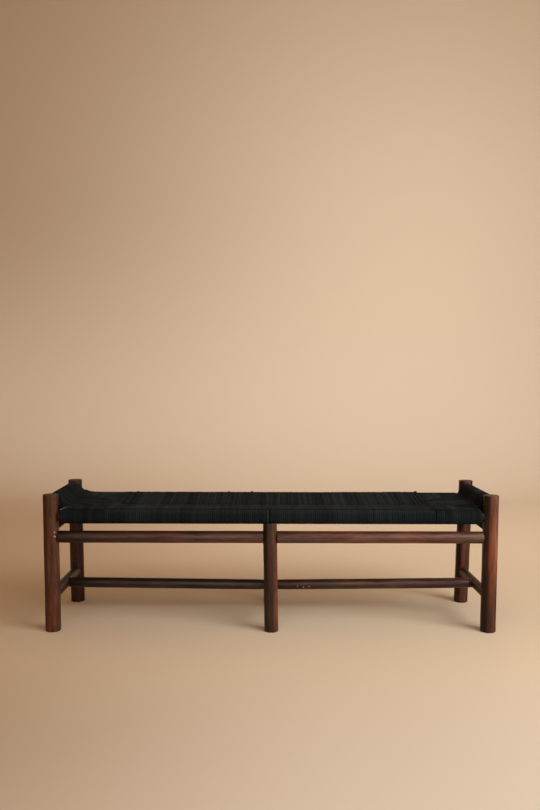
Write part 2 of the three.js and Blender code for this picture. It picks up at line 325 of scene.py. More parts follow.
class ShaderTree:
    """The nodes of a material or of the world, made one call at a time."""

    def __init__(self, owner: bpy.types.Material | bpy.types.World) -> None:
        """Opens the owner's tree, with the nodes that it starts with."""
        owner.use_nodes = True
        self.owner = owner
        self.nodes, self.links = owner.node_tree.nodes, owner.node_tree.links

    def feed(self, node: bpy.types.Node, sockets: dict[Any, Any]) -> None:
        """Links wires to a node's inputs, or sets plain values on them.

        Args:
            node: The node.
            sockets: Wires or values, by the input's name or index.
        """
        for name, value in sockets.items():
            if isinstance(value, Wire):
                self.links.new(value.socket, node.inputs[name])
            else:
                node.inputs[name].default_value = value

    def node(
        self, kind: str, settings: dict[str, Any] | None = None, sockets: dict[Any, Any] | None = None,
        output: int | str = 0,
    ) -> Wire:
        """Adds a node.

        Args:
            kind: The node's type.
            settings: Its settings, set first.
            sockets: Values or wires for its inputs, by name or index.
            output: The output that is wanted.

        Returns:
            That output, as a wire.
        """
        made = self.nodes.new(kind)
        for name, value in (settings or {}).items():
            setattr(made, name, value)
        self.feed(made, sockets or {})
        return Wire(self, made.outputs[output])

    def math(self, operation: str, *values: Any) -> Wire:
        """Adds a Math node on up to three numbers."""
        return self.node("ShaderNodeMath", {"operation": operation}, dict(enumerate(values)))

    def scaled(self, vector: Wire, scale: Point) -> Wire:
        """Multiplies the parts of a vector."""
        return self.node("ShaderNodeVectorMath", {"operation": "MULTIPLY"}, {0: vector, 1: scale})

    def attribute(self, name: str, output: str = "Fac") -> Wire:
        """Reads an attribute of the mesh."""
        return self.node("ShaderNodeAttribute", {"attribute_name": name}, output=output)

    def parts(self, vector: Wire, axes: str) -> tuple[Wire, ...]:
        """The parts of a vector on the named axes."""
        return tuple(self.node("ShaderNodeSeparateXYZ", {}, {0: vector}, output=axis) for axis in axes)

    def noise(self, place: Wire, detail: float = 2.0, roughness: float = 0.5) -> Wire:
        """Adds a noise pattern, from 0 to 1, about one wave to each unit of the place."""
        sockets = {"Vector": place, "Scale": 1.0, "Detail": detail, "Roughness": roughness}
        return self.node("ShaderNodeTexNoise", {}, sockets)

    def bump(self, strength: float, distance: float, height: Wire) -> Wire:
        """Adds a bump of a height pattern."""
        sockets = {"Strength": strength, "Distance": distance, "Height": height}
        return self.node("ShaderNodeBump", {}, sockets, "Normal")

    def mix(self, share: Any, start: Any, end: Any) -> Wire:
        """Mixes two colours."""
        return self.node("ShaderNodeMix", {"data_type": "RGBA"}, {0: share, 6: start, 7: end}, output=2)

    def principled(self, **sockets: Any) -> bpy.types.Material:
        """Feeds the Principled shader's sockets, named with underscores, and gives the material."""
        named = {name.replace("_", " "): value for name, value in sockets.items()}
        self.feed(self.nodes["Principled BSDF"], named)
        return self.owner


def linear(red: int, green: int, blue: int) -> Colour:
    """The linear colour of a colour on screen.

    Args:
        red: Its red, from 0 to 255.
        green: Its green.
        blue: Its blue.

    Returns:
        The colour, with an alpha of 1.
    """
    share = np.array([red, green, blue]) / 255.0
    value = np.where(share <= 0.04045, share / 12.92, ((share + 0.055) / 1.055) ** 2.4)
    return (*value.tolist(), 1.0)


@dataclass(frozen=True)
class StainedWood:
    """Hardwood with a dark reddish-brown stain, rubbed to a satin, lighter where its arrises are worn.

    The figure follows each piece's own coordinates, with the grain along the third of them: slow bands,
    year rings about the log's middle, fine streaks, clouds of umber and grey, and pores.
    """

    dark: Colour = linear(50, 24, 10)
    middle: Colour = linear(80, 40, 18)
    red: Colour = linear(116, 49, 20)
    worn: Colour = linear(112, 68, 38)
    umber: Colour = linear(58, 40, 17)
    grey: Colour = linear(76, 54, 47)
    bare: Colour = linear(190, 150, 125)
    ring_spacing: float = 0.0065

    def material(self) -> bpy.types.Material:
        """Mixes the figure's colours, scales them by the piece's tone, which holds its painted light and
        shade, and bares its nicks.

        Returns:
            The material.
        """
        tree = ShaderTree(bpy.data.materials.new("stained_wood"))
        timber = tree.attribute("timber", "Vector")
        wear, tone, nick, waxed = (tree.attribute(name) for name in ("wear", "tone", "nick", "waxed"))
        dry = (-waxed).math("MAXIMUM", 0.0)

        def figure(across: float, along: float, detail: float = 2.0, roughness: float = 0.5) -> Wire:
            """Noise with so many waves a metre across the grain and along it."""
            return tree.noise(tree.scaled(timber, (across, across, along)), detail, roughness)

        bands = figure(30.0, 1.9, 3.0, 0.55).step(0.32, 0.68)
        streaks = figure(150.0, 4.5, 4.0, 0.6).step(0.3, 0.7)
        pores = figure(900.0, 30.0).step(0.56, 0.72)
        patches = figure(14.0, 6.0).step(0.45, 0.75)
        clouds = figure(26.0, 3.4, 3.0, 0.6)
        shade = figure(70.0, 11.0, 4.0, 0.65).step(0.3, 0.7)
        rings = tree.node(
            "ShaderNodeTexWave",
            {"wave_type": "RINGS", "rings_direction": "Z", "wave_profile": "SAW"},
            {
                "Vector": tree.scaled(timber, (1.0, 1.0, 0.02)), "Scale": 1.0 / (20.0 * self.ring_spacing),
                "Distortion": 1.6, "Detail": 2.0, "Detail Scale": 1.2,
            },
            output="Fac",
        )

        colour = tree.mix(bands * 0.75 + rings * 0.25, self.dark, self.middle)
        colour = tree.mix(streaks * 0.6 * (0.3 + patches), colour, self.red)
        colour = tree.mix(clouds.step(0.5, 0.68) * 0.6, colour, self.umber)
        colour = tree.mix(clouds.step(0.48, 0.34) * 0.65, colour, self.grey)
        colour = tree.mix(pores * 0.55, colour, self.dark)
        rubbed = wear * (0.1 + streaks * 0.5 + patches * 0.5)
        colour = tree.mix(rubbed.step(0.25, 1.4), colour, self.worn)
        # The tone brings each piece's painted light and shade.
        light = tone * (0.55 + shade * 0.9)
        colour = tree.node("ShaderNodeVectorMath", {"operation": "SCALE"}, {0: colour, "Scale": light})
        chipped = (nick * (0.9 + streaks * 0.4)).step(0.55, 0.85)
        height = streaks * 0.35 + rings * 0.15 - pores * 0.6 - chipped * 0.8
        return tree.principled(
            Base_Color=tree.mix(chipped, colour, self.bare), Specular_IOR_Level=0.2,
            Roughness=0.42 + pores * 0.2 + streaks * 0.1 + chipped * 0.2 + dry * 0.4,
            Coat_Weight=(waxed + dry) * (0.5 + shade * 0.7) * (1.0 - chipped), Coat_Roughness=0.4,
            Normal=tree.bump(0.35, 0.0005, height),
        )


@dataclass(frozen=True)
class BlackCord:
    """Matt black twisted cord of three plies, with a little lint on it.

    The plies follow the cord's own map: their height is |sin(pi * (3 * around + turns))|, so that each
    ply winds once round the cord in each turn. A tone of 3 paints a pale highlight on the cord.
    """

    black: Colour = linear(14, 18, 19)
    lint: Colour = linear(53, 63, 66)
    painted_highlight: Colour = linear(125, 118, 106)
    plies: float = 3.0

    def material(self) -> bpy.types.Material:
        """Mixes lint over black, more of it where the strand's tone is higher; the tone holds painted light
        and shade as well as the strands' own differences.

        Returns:
            The material.
        """
        tree = ShaderTree(bpy.data.materials.new("black_cord"))
        turns, around = tree.parts(tree.node("ShaderNodeUVMap", {"uv_map": "plies"}, output="UV"), "XY")
        tone = tree.attribute("tone")
        phase = around * self.plies + turns
        ply = abs((phase * np.pi).math("SINE"))
        place = tree.node("ShaderNodeCombineXYZ", {}, {0: phase * 7.0, 1: turns * 1.5, 2: tone * 9.0})
        fibres = tree.noise(place, 3.0, 0.6)
        fluff = fibres.step(0.5, 0.8) * (0.25 + tone * 0.75)
        colour = tree.mix(fluff * 0.3 + tone * 0.5, self.black, self.lint)
        # Tones from 2 to 3 paint a pale highlight.
        return tree.principled(
            Base_Color=tree.mix(tone.step(2.0, 3.0), colour, self.painted_highlight), Specular_IOR_Level=0.04,
            Roughness=0.75 + fibres * 0.2, Normal=tree.bump(0.3, 0.001, ply * 0.8 + fibres * 0.4),
        )


# The frame of legs, rails and bars


@dataclass(frozen=True)
class StainAndLight:
    """How light a leg's wood is: its stain, with painted light on the side that faces the light, and
    painted light and shade from its foot to its top.

    Attributes:
        tone: Lightness of its dark side, where 1 is the wood's own colour.
        painted_light: How much lighter its lit side is painted, as a share: painted light from that side.
        way: Where that side faces, in degrees round from +X.
        spread: Power of the cosine that it fades by.
        wax: How much wax its sides have.
        shades: Shares of the tone, evenly spaced from the foot to the top: painted light and shade up the
            leg.
    """

    tone: float
    painted_light: float = 0.0
    way: float = -60.0
    spread: float = 4.0
    wax: float = 0.1
    shades: tuple[float, ...] = (1.0,)

    def at(self, around: Array, share: Array) -> Array:
        """Lightness at angles round a leg and shares of its height, with its painted light and shade."""
        facing = np.clip(np.cos(around - np.radians(self.way)), 0.0, 1.0) ** self.spread
        # Painted light on the side that faces the light, and painted light and shade up the leg.
        return self.tone * shade_along(share, self.shades) * (1.0 + self.painted_light * facing)


def off_flat(around: Array) -> Array:
    """Angles from the middle of the nearest of eight flats."""
    return around - np.round(around / EIGHTH) * EIGHTH


def nick_marks(rings: Array, nicks: tuple[Point, ...], size: float = 0.004) -> Array:
    """How much of a nick each point has: a bell curve of the distance from the nearest nick.

    Args:
        rings: Points, as (rings, sides, 3).
        nicks: The nicks' places.
        size: Their size.

    Returns:
        Values from 0 to 1, as (rings, sides).
    """
    marks = [np.zeros(rings.shape[:-1])]
    marks += [bell(np.linalg.norm(rings - np.array(nick), axis=-1), size) for nick in nicks]
    return np.max(marks, axis=0)


@dataclass(frozen=True)
class Leg:
    """A leg with eight flats, which face along X, along Y and half-way between.

    Attributes:
        name: Name of its node.
        x: Place of its middle along the bench.
        y: Place of its middle from front to back.
        across: Distance across its flats.
        height: Height of its top.
        foot_lean: How far its foot stands from its place along X.
        top_lean: How far its top stands from it.
        saddle: Height of the wound rail's middle that the top is hollowed for, or None.
        stain: How light its wood is, with its painted light and shade.
        nicks: Places where its arrises are chipped.
        arris: Radius of its arrises.
        easing: Radius of the edges of its foot and top.
        hollow: Radius of the hollow in its top.
        unevenness: How far the shaving goes in at most.
    """

    name: str
    x: float
    y: float
    across: float
    height: float
    foot_lean: float
    top_lean: float
    saddle: float | None
    stain: StainAndLight
    nicks: tuple[Point, ...]
    arris: float = 0.009
    easing: float = 0.0016
    hollow: float = 0.0252
    unevenness: float = 0.0007

    def middle(self, height: Any) -> Any:
        """Place of the leg's middle along X at a height."""
        return self.x + lerp(self.foot_lean, self.top_lean, height / self.height)

    def radius(self, around: Array, arris: Array) -> Array:
        """Distance from the middle to the side.

        On a flat it is half / cos(angle from the flat's middle). On an arris it is the far cut of the
        ray with a circle of the arris's radius, whose middle lies on the line to the corner.

        Args:
            around: Angles round the leg.
            arris: The arris's radius at each point.

        Returns:
            The distances, in the two arrays' common shape.
        """
        half, corner, off = self.across / 2, EIGHTH / 2, np.abs(off_flat(around))
        centre = (half - arris) / np.cos(corner)
        inside = np.maximum(arris**2 - (centre * np.sin(corner - off)) ** 2, 0.0)
        flat_end = np.arctan2(centre * np.sin(corner), half)
        rounded = centre * np.cos(corner - off) + np.sqrt(inside)
        return np.where(off < flat_end, half / np.cos(off), rounded)

    def top_at(self, y: Array) -> Array:
        """Height of the top: level, or hollowed to the wound rail's circle.

        Args:
            y: Places from front to back.

        Returns:
            The heights.
        """
        if self.saddle is None:
            return np.full_like(y, self.height)
        below = self.saddle - np.sqrt(np.maximum(self.hollow**2 - (y - self.y) ** 2, 0.0))
        return np.minimum(self.height, below)

    def build(self, seed: int, wood: bpy.types.Material) -> None:
        """Makes the leg.

        Its rings are shares of its height, drawn in over an eased edge at the foot and the top, and
        closed by rings that shrink towards the middle of each end. Their points stand close together
        round each arris, with a few on each flat.

        Args:
            seed: Seed of its unevenness.
            wood: Its material.
        """
        end_band, body_rings = 0.012, 170 if self.nicks else 54
        arris_start, arris_blend, worn_reach = 0.24, 0.14, 0.006
        in_flat = np.radians([-22.5, -18.5, -14.2, -8.0, 0.0, 8.0, 14.2, 18.5])
        around = (np.arange(8)[:, None] * EIGHTH + in_flat).reshape(1, -1)
        closing = np.array([[0.35], [0.75], [0.9]])
        none, ease = np.zeros(len(closing)), self.easing * np.array([1.0, 0.5, 0.13, 0.0])
        body = np.linspace(end_band, self.height - end_band, body_rings)
        low = np.concatenate([none, ease[::-1]])
        along = np.concatenate([low, body, self.height - low[::-1]])[:, None]
        inset = np.concatenate([none, ease, 0.0 * body, ease[::-1], none])[:, None]

        arris = self.arris * (1.0 + 0.25 * Waver(seed, (0.4, 0.23, 0.15), (1, 3, 4)).at(along, around))
        shaved = self.unevenness / 2 * (1.0 + Waver(seed + 1).at(along, around))
        radius = self.radius(around, arris) - shaved - inset
        radius[:3], radius[-3:] = radius[3] * closing, radius[-4] * closing[::-1]
        x, y = radius * np.cos(around), radius * np.sin(around)
        z = along * self.top_at(self.y + y) / self.height
        rings = stacked(self.middle(z) + x, self.y + y, z)

        pith = np.random.default_rng(seed).uniform(0.04, 0.09)
        turn = seed * 2.4
        on_arris = np.clip((np.abs(off_flat(around)) - arris_start) / arris_blend, 0.0, 1.0)
        near_end = np.exp(-np.minimum(along, self.height - along) / worn_reach)
        waxed = np.full_like(x, self.stain.wax)
        waxed[:3], waxed[-3:] = 0.0, 0.0
        marks = {
            "wear": np.clip(on_arris + 0.7 * near_end, 0.0, 1.0),
            "nick": nick_marks(rings, self.nicks),
            "waxed": waxed,
            # The tone holds the leg's painted light and shade.
            "tone": self.stain.at(around, along / self.height),
            "timber": stacked(x + pith * np.cos(turn), y + pith * np.sin(turn), along + 3.0 * seed),
        }
        hand_in(Skin(self.name, rings, marks).build(), wood, Slot.WOOD, self.name)


@dataclass
class Legs:
    """The six legs: four at the corners, and two in the middle under the side rails.

    Attributes:
        spacing: Distance between the corner legs along the bench.
        depth_spacing: Distance between the front and the back legs.
        corner_across: Distance across a corner leg's flats.
        corner_height: Height of a corner leg.
        middle_across: Distance across a middle leg's flats.
        middle_height: Height of a middle leg.
        side_rail_height: Height of the side rails' centre lines.
        end_rail_height: Height of the end rails' centre lines.
        leans: How far each leg's foot and top stand off its place, as shares of its width.
        nicks: Places of each leg's nicks.
        stains_and_light: Each leg's stain, with its painted light and shade.
    """

    spacing: float = 1.451
    depth_spacing: float = 0.351
    corner_across: float = 0.049
    corner_height: float = 0.456
    middle_across: float = 0.0467
    middle_height: float = 0.364
    side_rail_height: float = 0.385
    end_rail_height: float = 0.423
    leans: dict[str, tuple[float, float]] = field(default_factory=lambda: {
        "leg_front_left": (0.043, -0.063),
        "leg_front_middle": (0.073, -0.049),
        "leg_front_right": (0.002, 0.1),
        "leg_back_left": (0.076, -0.063),
        "leg_back_middle": (-0.03, 0.02),
        "leg_back_right": (-0.2, 0.084),
    })
    nicks: dict[str, tuple[Point, ...]] = field(default_factory=lambda: {
        "leg_front_left": ((-0.7127, -0.195, 0.3205), (-0.7095, -0.1918, 0.3175), (-0.712, -0.1943, 0.333)),
    })
    # Each leg's tone, partly painted shade, its painted light on the lit side, and painted light and shade
    # from foot to top.
    stains_and_light: dict[str, StainAndLight] = field(default_factory=lambda: {
        "leg_front_left": StainAndLight(0.82, 0.5, wax=0.12, shades=(0.95, 0.84, 0.78, 0.98, 1.15, 0.97, 0.7)),
        "leg_front_middle": StainAndLight(0.28, 4.6, -30.0, 5.0, 0.3, (0.68, 0.85, 0.98, 0.92, 0.85, 0.9)),
        "leg_front_right": StainAndLight(0.32, 5.2, -58.0, 3.0, 0.1, (0.42, 0.4, 0.5, 1.1, 1.06, 1.12, 1.02)),
        "leg_back_left": StainAndLight(0.45, shades=(0.5, 0.62, 0.87, 1.0, 0.95, 0.95, 0.95)),
        "leg_back_middle": StainAndLight(0.42, 1.0),
        "leg_back_right": StainAndLight(0.36, 1.6, -80.0),
    })

    def __post_init__(self) -> None:
        """Works out the legs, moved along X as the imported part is."""
        self.legs: dict[str, Leg] = {}
        self.lay_out(0.0)
        low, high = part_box("seat_rail_front")
        left, right = self.legs["leg_front_left"], self.legs["leg_front_right"]
        height = self.side_rail_height
        self.lay_out((low.x + high.x) / 2 - (left.middle(height) + right.middle(height)) / 2)

    def lay_out(self, shift: float) -> None:
        """Sets out the legs, all moved along X.

        Args:
            shift: How far they are moved.
        """
        for name, (foot, top) in self.leans.items():
            _, side, place = name.split("_")
            corner = place != "middle"
            across = self.corner_across if corner else self.middle_across
            self.legs[name] = Leg(
                name=name,
                x={"left": -0.5, "middle": 0.0, "right": 0.5}[place] * self.spacing + shift,
                y=(-0.5 if side == "front" else 0.5) * self.depth_spacing,
                across=across,
                height=self.corner_height if corner else self.middle_height,
                foot_lean=foot * across,
                top_lean=top * across,
                saddle=None if corner else self.side_rail_height,
                stain=self.stains_and_light[name],
                nicks=self.nicks.get(name, ()),
            )

    def build(self, wood: bpy.types.Material) -> None:
        """Makes the legs."""
        for number, leg in enumerate(self.legs.values(), start=1):
            leg.build(number, wood)


@dataclass(frozen=True)
class Shoulder:
    """What a bar's end butts against: a leg, or a round crossbar of a radius for a lower stretcher."""

    point: Point
    leg: Leg | None = None
    round_radius: float = 0.0

    def distance(self, upward: Array, along_x: bool, way: float) -> Array:
        """How far from the point, along the bar, its surface lies.

        Args:
            upward: Each point's height above the bar's centre line.
            along_x: Whether the bar runs along the bench.
            way: 1 where the bar leaves towards higher X or Y, else -1.

        Returns:
            Half the leg's width, with its lean along X, or sqrt(radius squared - upward squared).
        """
        if self.leg is None:
            return np.sqrt(np.maximum(self.round_radius**2 - upward**2, 0.0))
        height = self.point[2]
        lean = self.leg.middle(height + upward) - self.leg.middle(height)
        return self.leg.across / 2 + (way if along_x else 0.0) * lean


@dataclass(frozen=True)
class BarLook:
    """How light a bar's wood is, with painted light and shade.

    Attributes:
        tone: Lightness of its sides, where 1 is the wood's own colour.
        shades: Shares of the tone and the wax, evenly spaced from its start to its end: painted light and
            shade along it.
        painted_shade_top: How much darker its top is painted, as painted shade; below 0 it is painted
            lighter, as painted light.
        painted_shade_side: How much darker its left is painted, or its back where it runs along the bench,
            as painted shade.
        wax: How much wax it has; below 0 it is dry and matt.
    """

    tone: float
    shades: tuple[float, ...] = (1.0,)
    painted_shade_top: float = 0.45
    painted_shade_side: float = 0.0
    wax: float = 0.6


@dataclass(frozen=True)
class Bar:
    """A round bar between two shoulders, a little uneven, with the sharp edge off its ends.

    Attributes:
        name: Name of its node.
        start: What its first end butts against.
        end: What its other end butts against.
        diameter: Its thickness.
        look: How light its wood is, with its painted light and shade.
        neck: How much thinner its ends are in radius.
        nicks: Places where it is chipped.
        sides: Points round it.
        ring_spacing: Distance between its rings.
        nicked_spacing: The same where it has nicks.
        buried: How far its ends go into what they butt against.
        unevenness: How far the shaving goes in at most.
    """

    name: str
    start: Shoulder
    end: Shoulder
    diameter: float
    look: BarLook
    neck: float = 0.0
    nicks: tuple[Point, ...] = ()
    sides: int = 48
    ring_spacing: float = 0.012
    nicked_spacing: float = 0.003
    buried: float = 0.0003
    unevenness: float = 0.00045

    def build(self, seed: int, wood: bpy.types.Material) -> None:
        """Makes the bar: a circle carried along the line, whose end rings lie on the shoulders.

        Args:
            seed: Seed of its unevenness.
            wood: Its material.
        """
        start, end = np.array(self.start.point), np.array(self.end.point)
        length = np.linalg.norm(end - start)
        along = (end - start) / length
        side = np.cross(along, (0.0, 0.0, 1.0))
        side /= np.linalg.norm(side)
        up = np.cross(side, along)
        along_x = abs(along[0]) > abs(along[1])

        near = np.array([0.0, 0.0005, 0.0014, 0.004, 0.009])
        edge = np.array([0.0006, 0.0002, 0.0, 0.0, 0.0])
        spacing = self.nicked_spacing if self.nicks else self.ring_spacing
        shares = np.linspace(0.0, 1.0, max(int(length / spacing), 8))[1:-1]
        share = np.concatenate([0.0 * near, shares, 0.0 * near + 1.0])[:, None]
        offset = np.concatenate([near, 0.0 * shares, -near[::-1]])[:, None]
        eased = np.concatenate([edge, 0.0 * shares, edge[::-1]])[:, None]

        around = (np.arange(self.sides) / self.sides * FULL_TURN)[None]
        place = length * share + offset
        waver = Waver(seed, (0.42, 0.27, 0.16, 0.09), (1, 2, 3, 6)).at(place, around)
        radius = self.diameter / 2 - self.unevenness / 2 * (1.0 + waver) - eased
        radius = radius - self.neck * bell(np.minimum(place, length - place), 0.03)
        sideways, upward = radius * np.cos(around), radius * np.sin(around)
        first = self.start.distance(upward[:1], along_x, 1.0) - self.buried
        last = length - self.end.distance(upward[-1:], along_x, -1.0) + self.buried
        distance = lerp(first, last, share) + offset
        rings = start + distance[..., None] * along - sideways[..., None] * side + upward[..., None] * up

        rng = np.random.default_rng(seed + 50)
        pith, turn = rng.uniform(0.03, 0.08), rng.uniform(0.0, FULL_TURN)
        look, shade = self.look, shade_along(share, self.look.shades)
        wear = 0.35 * np.exp(-np.minimum(distance, length - distance - 0.02) / 0.004)
        # Painted shade on the top and on one side; where the values are below 0 it is painted light.
        darker = look.painted_shade_top * np.sin(around) + look.painted_shade_side * np.cos(around)
        marks = {
            "wear": np.clip(wear, 0.0, 1.0),
            "nick": nick_marks(rings, self.nicks),
            "tone": look.tone * shade * (1.0 - darker),
            "waxed": np.broadcast_to(look.wax * shade, wear.shape),
            "timber": stacked(
                sideways + pith * np.cos(turn), upward + pith * np.sin(turn), distance + 2.7 * seed + 0.4,
            ),
        }
        hand_in(Skin(self.name, rings, marks).build(), wood, Slot.WOOD, self.name)


@dataclass
class Bars:
    """The rails, stretchers and crossbars, tenoned between the legs at heights that keep them apart.

    Attributes:
        legs: The legs that they join.
        rail_diameter: Thickness of the seat rails.
        stretcher_height: Height of the upper stretchers.
        stretcher_diameter: Thickness of the upper stretchers.
        lower_stretcher_diameter: Thickness of the lower stretchers.
        lower_stretcher_neck: How much thinner their ends are in radius.
        lower_stretcher_nicks: Places of the nicks in the right one.
        looks: How light the stretchers' wood is, with painted shade on the upper ones' tops, painted light
            on the lower ones' tops, and painted light and shade along each.
        crossbars: Each crossbar's height, thickness and look, with its painted light and shade.
    """

    legs: Legs
    rail_diameter: float = 0.037
    stretcher_height: float = 0.315
    stretcher_diameter: float = 0.0404
    lower_stretcher_diameter: float = 0.036
    lower_stretcher_neck: float = 0.0016
    lower_stretcher_nicks: tuple[Point, ...] = (
        (0.095, -0.0165, 0.1075), (0.116, -0.0165, 0.1045), (0.136, -0.0165, 0.106),
    )
    # Painted shade on the upper stretchers' tops, painted light on the lower ones' tops, and painted light
    # and shade along each.
    looks: dict[str, BarLook] = field(default_factory=lambda: {
        "upper_left": BarLook(0.64, (0.36, 0.55, 0.82, 0.95, 0.9, 0.95, 1.25, 1.2, 0.95), 0.25, wax=0.62),
        "upper_right": BarLook(0.94, (0.7, 0.88, 1.0, 1.08, 1.05, 1.08, 1.1, 1.1, 1.0), 0.05, wax=0.66),
        "lower_left": BarLook(0.35, (0.3, 0.5, 0.75, 0.86, 0.82, 0.82, 1.1, 1.15, 0.65), -0.1, wax=0.5),
        "lower_right": BarLook(0.65, (0.5, 0.66, 0.95, 1.1, 1.25, 1.1, 0.82, 0.85, 0.8), -0.6),
    })
    crossbars: dict[str, tuple[float, float, BarLook]] = field(default_factory=lambda: {
        # The upper crossbars are painted dark as shade under the seat; the lower left and right ones have
        # painted light on their tops, the middle one painted shade on its top, and the right one painted
        # shade on its left side.
        "upper_crossbar_left": (0.345, 0.035, BarLook(0.14, wax=-1.0)),
        "upper_crossbar_middle": (0.285, 0.035, BarLook(0.14, wax=-1.0)),
        "upper_crossbar_right": (0.345, 0.035, BarLook(0.14, wax=-1.0)),
        "lower_crossbar_left": (0.1165, 0.0365, BarLook(0.4, painted_shade_top=-0.2, wax=0.1)),
        "lower_crossbar_middle": (0.1087, 0.0358, BarLook(0.6, wax=0.3)),
        "lower_crossbar_right": (0.1165, 0.0336, BarLook(0.8, painted_shade_top=-0.3, painted_shade_side=0.5, wax=0.15)),
    })

    def between(self, name: str, ends: list[str], height: float, diameter: float, look: BarLook) -> Bar:
        """A bar between two legs.

        Args:
            name: Name of its node.
            ends: The legs that it joins, as "front_left".
            height: Height of its centre line.
            diameter: Its thickness.
            look: How light its wood is.

        Returns:
            The bar.
        """
        legs = [self.legs.legs[f"leg_{end}"] for end in ends]
        start, end = (Shoulder((leg.middle(height), leg.y, height), leg) for leg in legs)
        return Bar(name, start, end, diameter, look)

    def rails(self) -> list[Bar]:
        """The seat rails under the cord, dry and matt, and painted dark as shade under the cord; the front
        one's painted shade deepens towards its right end.

        Returns:
            The front, back, left and right rail.
        """
        side, end = self.legs.side_rail_height, self.legs.end_rail_height
        # Painted shade: the rails are painted dark where the cord and the legs shade them.
        dark = BarLook(0.12, wax=-1.0)
        plans = {
            "front": (["front_left", "front_right"], side, BarLook(0.3, (1.0, 0.17), wax=-1.0)),
            "back": (["back_left", "back_right"], side, dark),
            "left": (["front_left", "back_left"], end, dark),
            "right": (["front_right", "back_right"], end, dark),
        }
        return [
            self.between(f"seat_rail_{place}", ends, height, self.rail_diameter, look)
            for place, (ends, height, look) in plans.items()
        ]

    def upper_stretchers(self) -> list[Bar]:
        """The upper stretchers, each from a corner leg to a middle one.

        Returns:
            The left and the right one at the front, and the same at the back.
        """
        return [
            self.between(
                f"upper_stretcher_{side}_{end}", [f"{side}_{place}" for place in places],
                self.stretcher_height, self.stretcher_diameter, self.looks[f"upper_{end}"],
            )
            for side in ("front", "back")
            for end, places in (("left", ("left", "middle")), ("right", ("middle", "right")))
        ]

    def lower_stretchers(self, crossbars: dict[str, Bar]) -> list[Bar]:
        """The two lower stretchers, between the middles of the lower crossbars.

        Args:
            crossbars: The crossbars, by name.

        Returns:
            The left and the right stretcher.
        """
        stops = []
        for place in ("left", "middle", "right"):
            bar = crossbars[f"lower_crossbar_{place}"]
            middle = (np.array(bar.start.point) + np.array(bar.end.point)) / 2
            stops.append(Shoulder(tuple(middle), None, bar.diameter / 2))
        return [
            Bar(
                f"lower_stretcher_{end}", *stops[first:first + 2], self.lower_stretcher_diameter,
                self.looks[f"lower_{end}"], self.lower_stretcher_neck, nicks,
            )
            for first, (end, nicks) in enumerate((("left", ()), ("right", self.lower_stretcher_nicks)))
        ]

    def build(self, wood: bpy.types.Material) -> None:
        """Makes the bars.

        Args:
            wood: Their material.
        """
        crossbars = {}
        for name, (height, diameter, look) in self.crossbars.items():
            place = name.split("_")[-1]
            ends = [f"front_{place}", f"back_{place}"]
            crossbars[name] = self.between(name, ends, height, diameter, look)
        bars = self.rails() + self.upper_stretchers() + list(crossbars.values())
        for number, bar in enumerate(bars + self.lower_stretchers(crossbars), start=21):
            bar.build(number, wood)


# The wound seat


@dataclass(frozen=True)
class Fall:
    """How an end rail's strands fall from its crest to the seat.

    The strand's centre line runs level to the shoulder, falls by half a cosine wave to the foot, and
    then runs straight to the seam. Both are distances in from the rail's centre line.
    """

    shoulder: float
    foot: float


@dataclass
class Run:
    """A stretch of cord: its points, the way that its side faces, half its width and thickness, its tone.

    The arrays are (strands, points, 3) and (strands, points).
    """

    points: Array
    sides: Array
    widths: Array
    heights: Array
    tones: Array

    def parts(self) -> tuple[Array, ...]:
        """The run's five arrays."""
        return self.points, self.sides, self.widths, self.heights, self.tones

    @staticmethod
    def joined(runs: list["Run"]) -> "Run":
        """Joins runs end to end."""
        return Run(*(np.concatenate(parts, axis=1) for parts in zip(*(run.parts() for run in runs))))

    def as_one(self) -> "Run":
        """The strands one after another, as one strand."""
        return Run(*(part.reshape(1, -1, *part.shape[2:]) for part in self.parts()))


@dataclass(frozen=True)
class Wander:
    """How far the strands stray from their lines, as the spread of each random shift.

    Attributes:
        slack: Up or down, half-way between the slit and the rail.
        lift: Off the rail's crest, at most.
        slit: Along the bench in the slit, drifting and from strand to strand.
        rail: The same over the rail.
        face: How far a strand strays further on the rail's face, and again below it.
        side_round: In a corner over the side rail, by half a wave and by a whole one.
        end_round: The same over the end rail.
    """

    slack: float = 0.0005
    lift: float = 0.0005
    slit: tuple[float, float] = (0.0016, 0.0003)
    rail: tuple[float, float] = (0.0009, 0.00035)
    face: float = 0.0006
    side_round: tuple[float, float] = (0.0006, 0.0004)
    end_round: tuple[float, float] = (0.0006, 0.0005)


@dataclass(frozen=True)
class Pile:
    """How the first rounds of one corner are piled up, fading from strand to strand.

    Attributes:
        side: The corner's side rail.
        end: Its end rail.
        height: How far its first strand stands off the crest.
        reach: How far along the bench that fades over.
        foot: How much further in that strand reaches the seat.
    """

    side: Side = Side.BACK
    end: End = End.LEFT
    height: float = 0.0115
    reach: float = 0.016
    foot: float = 0.012


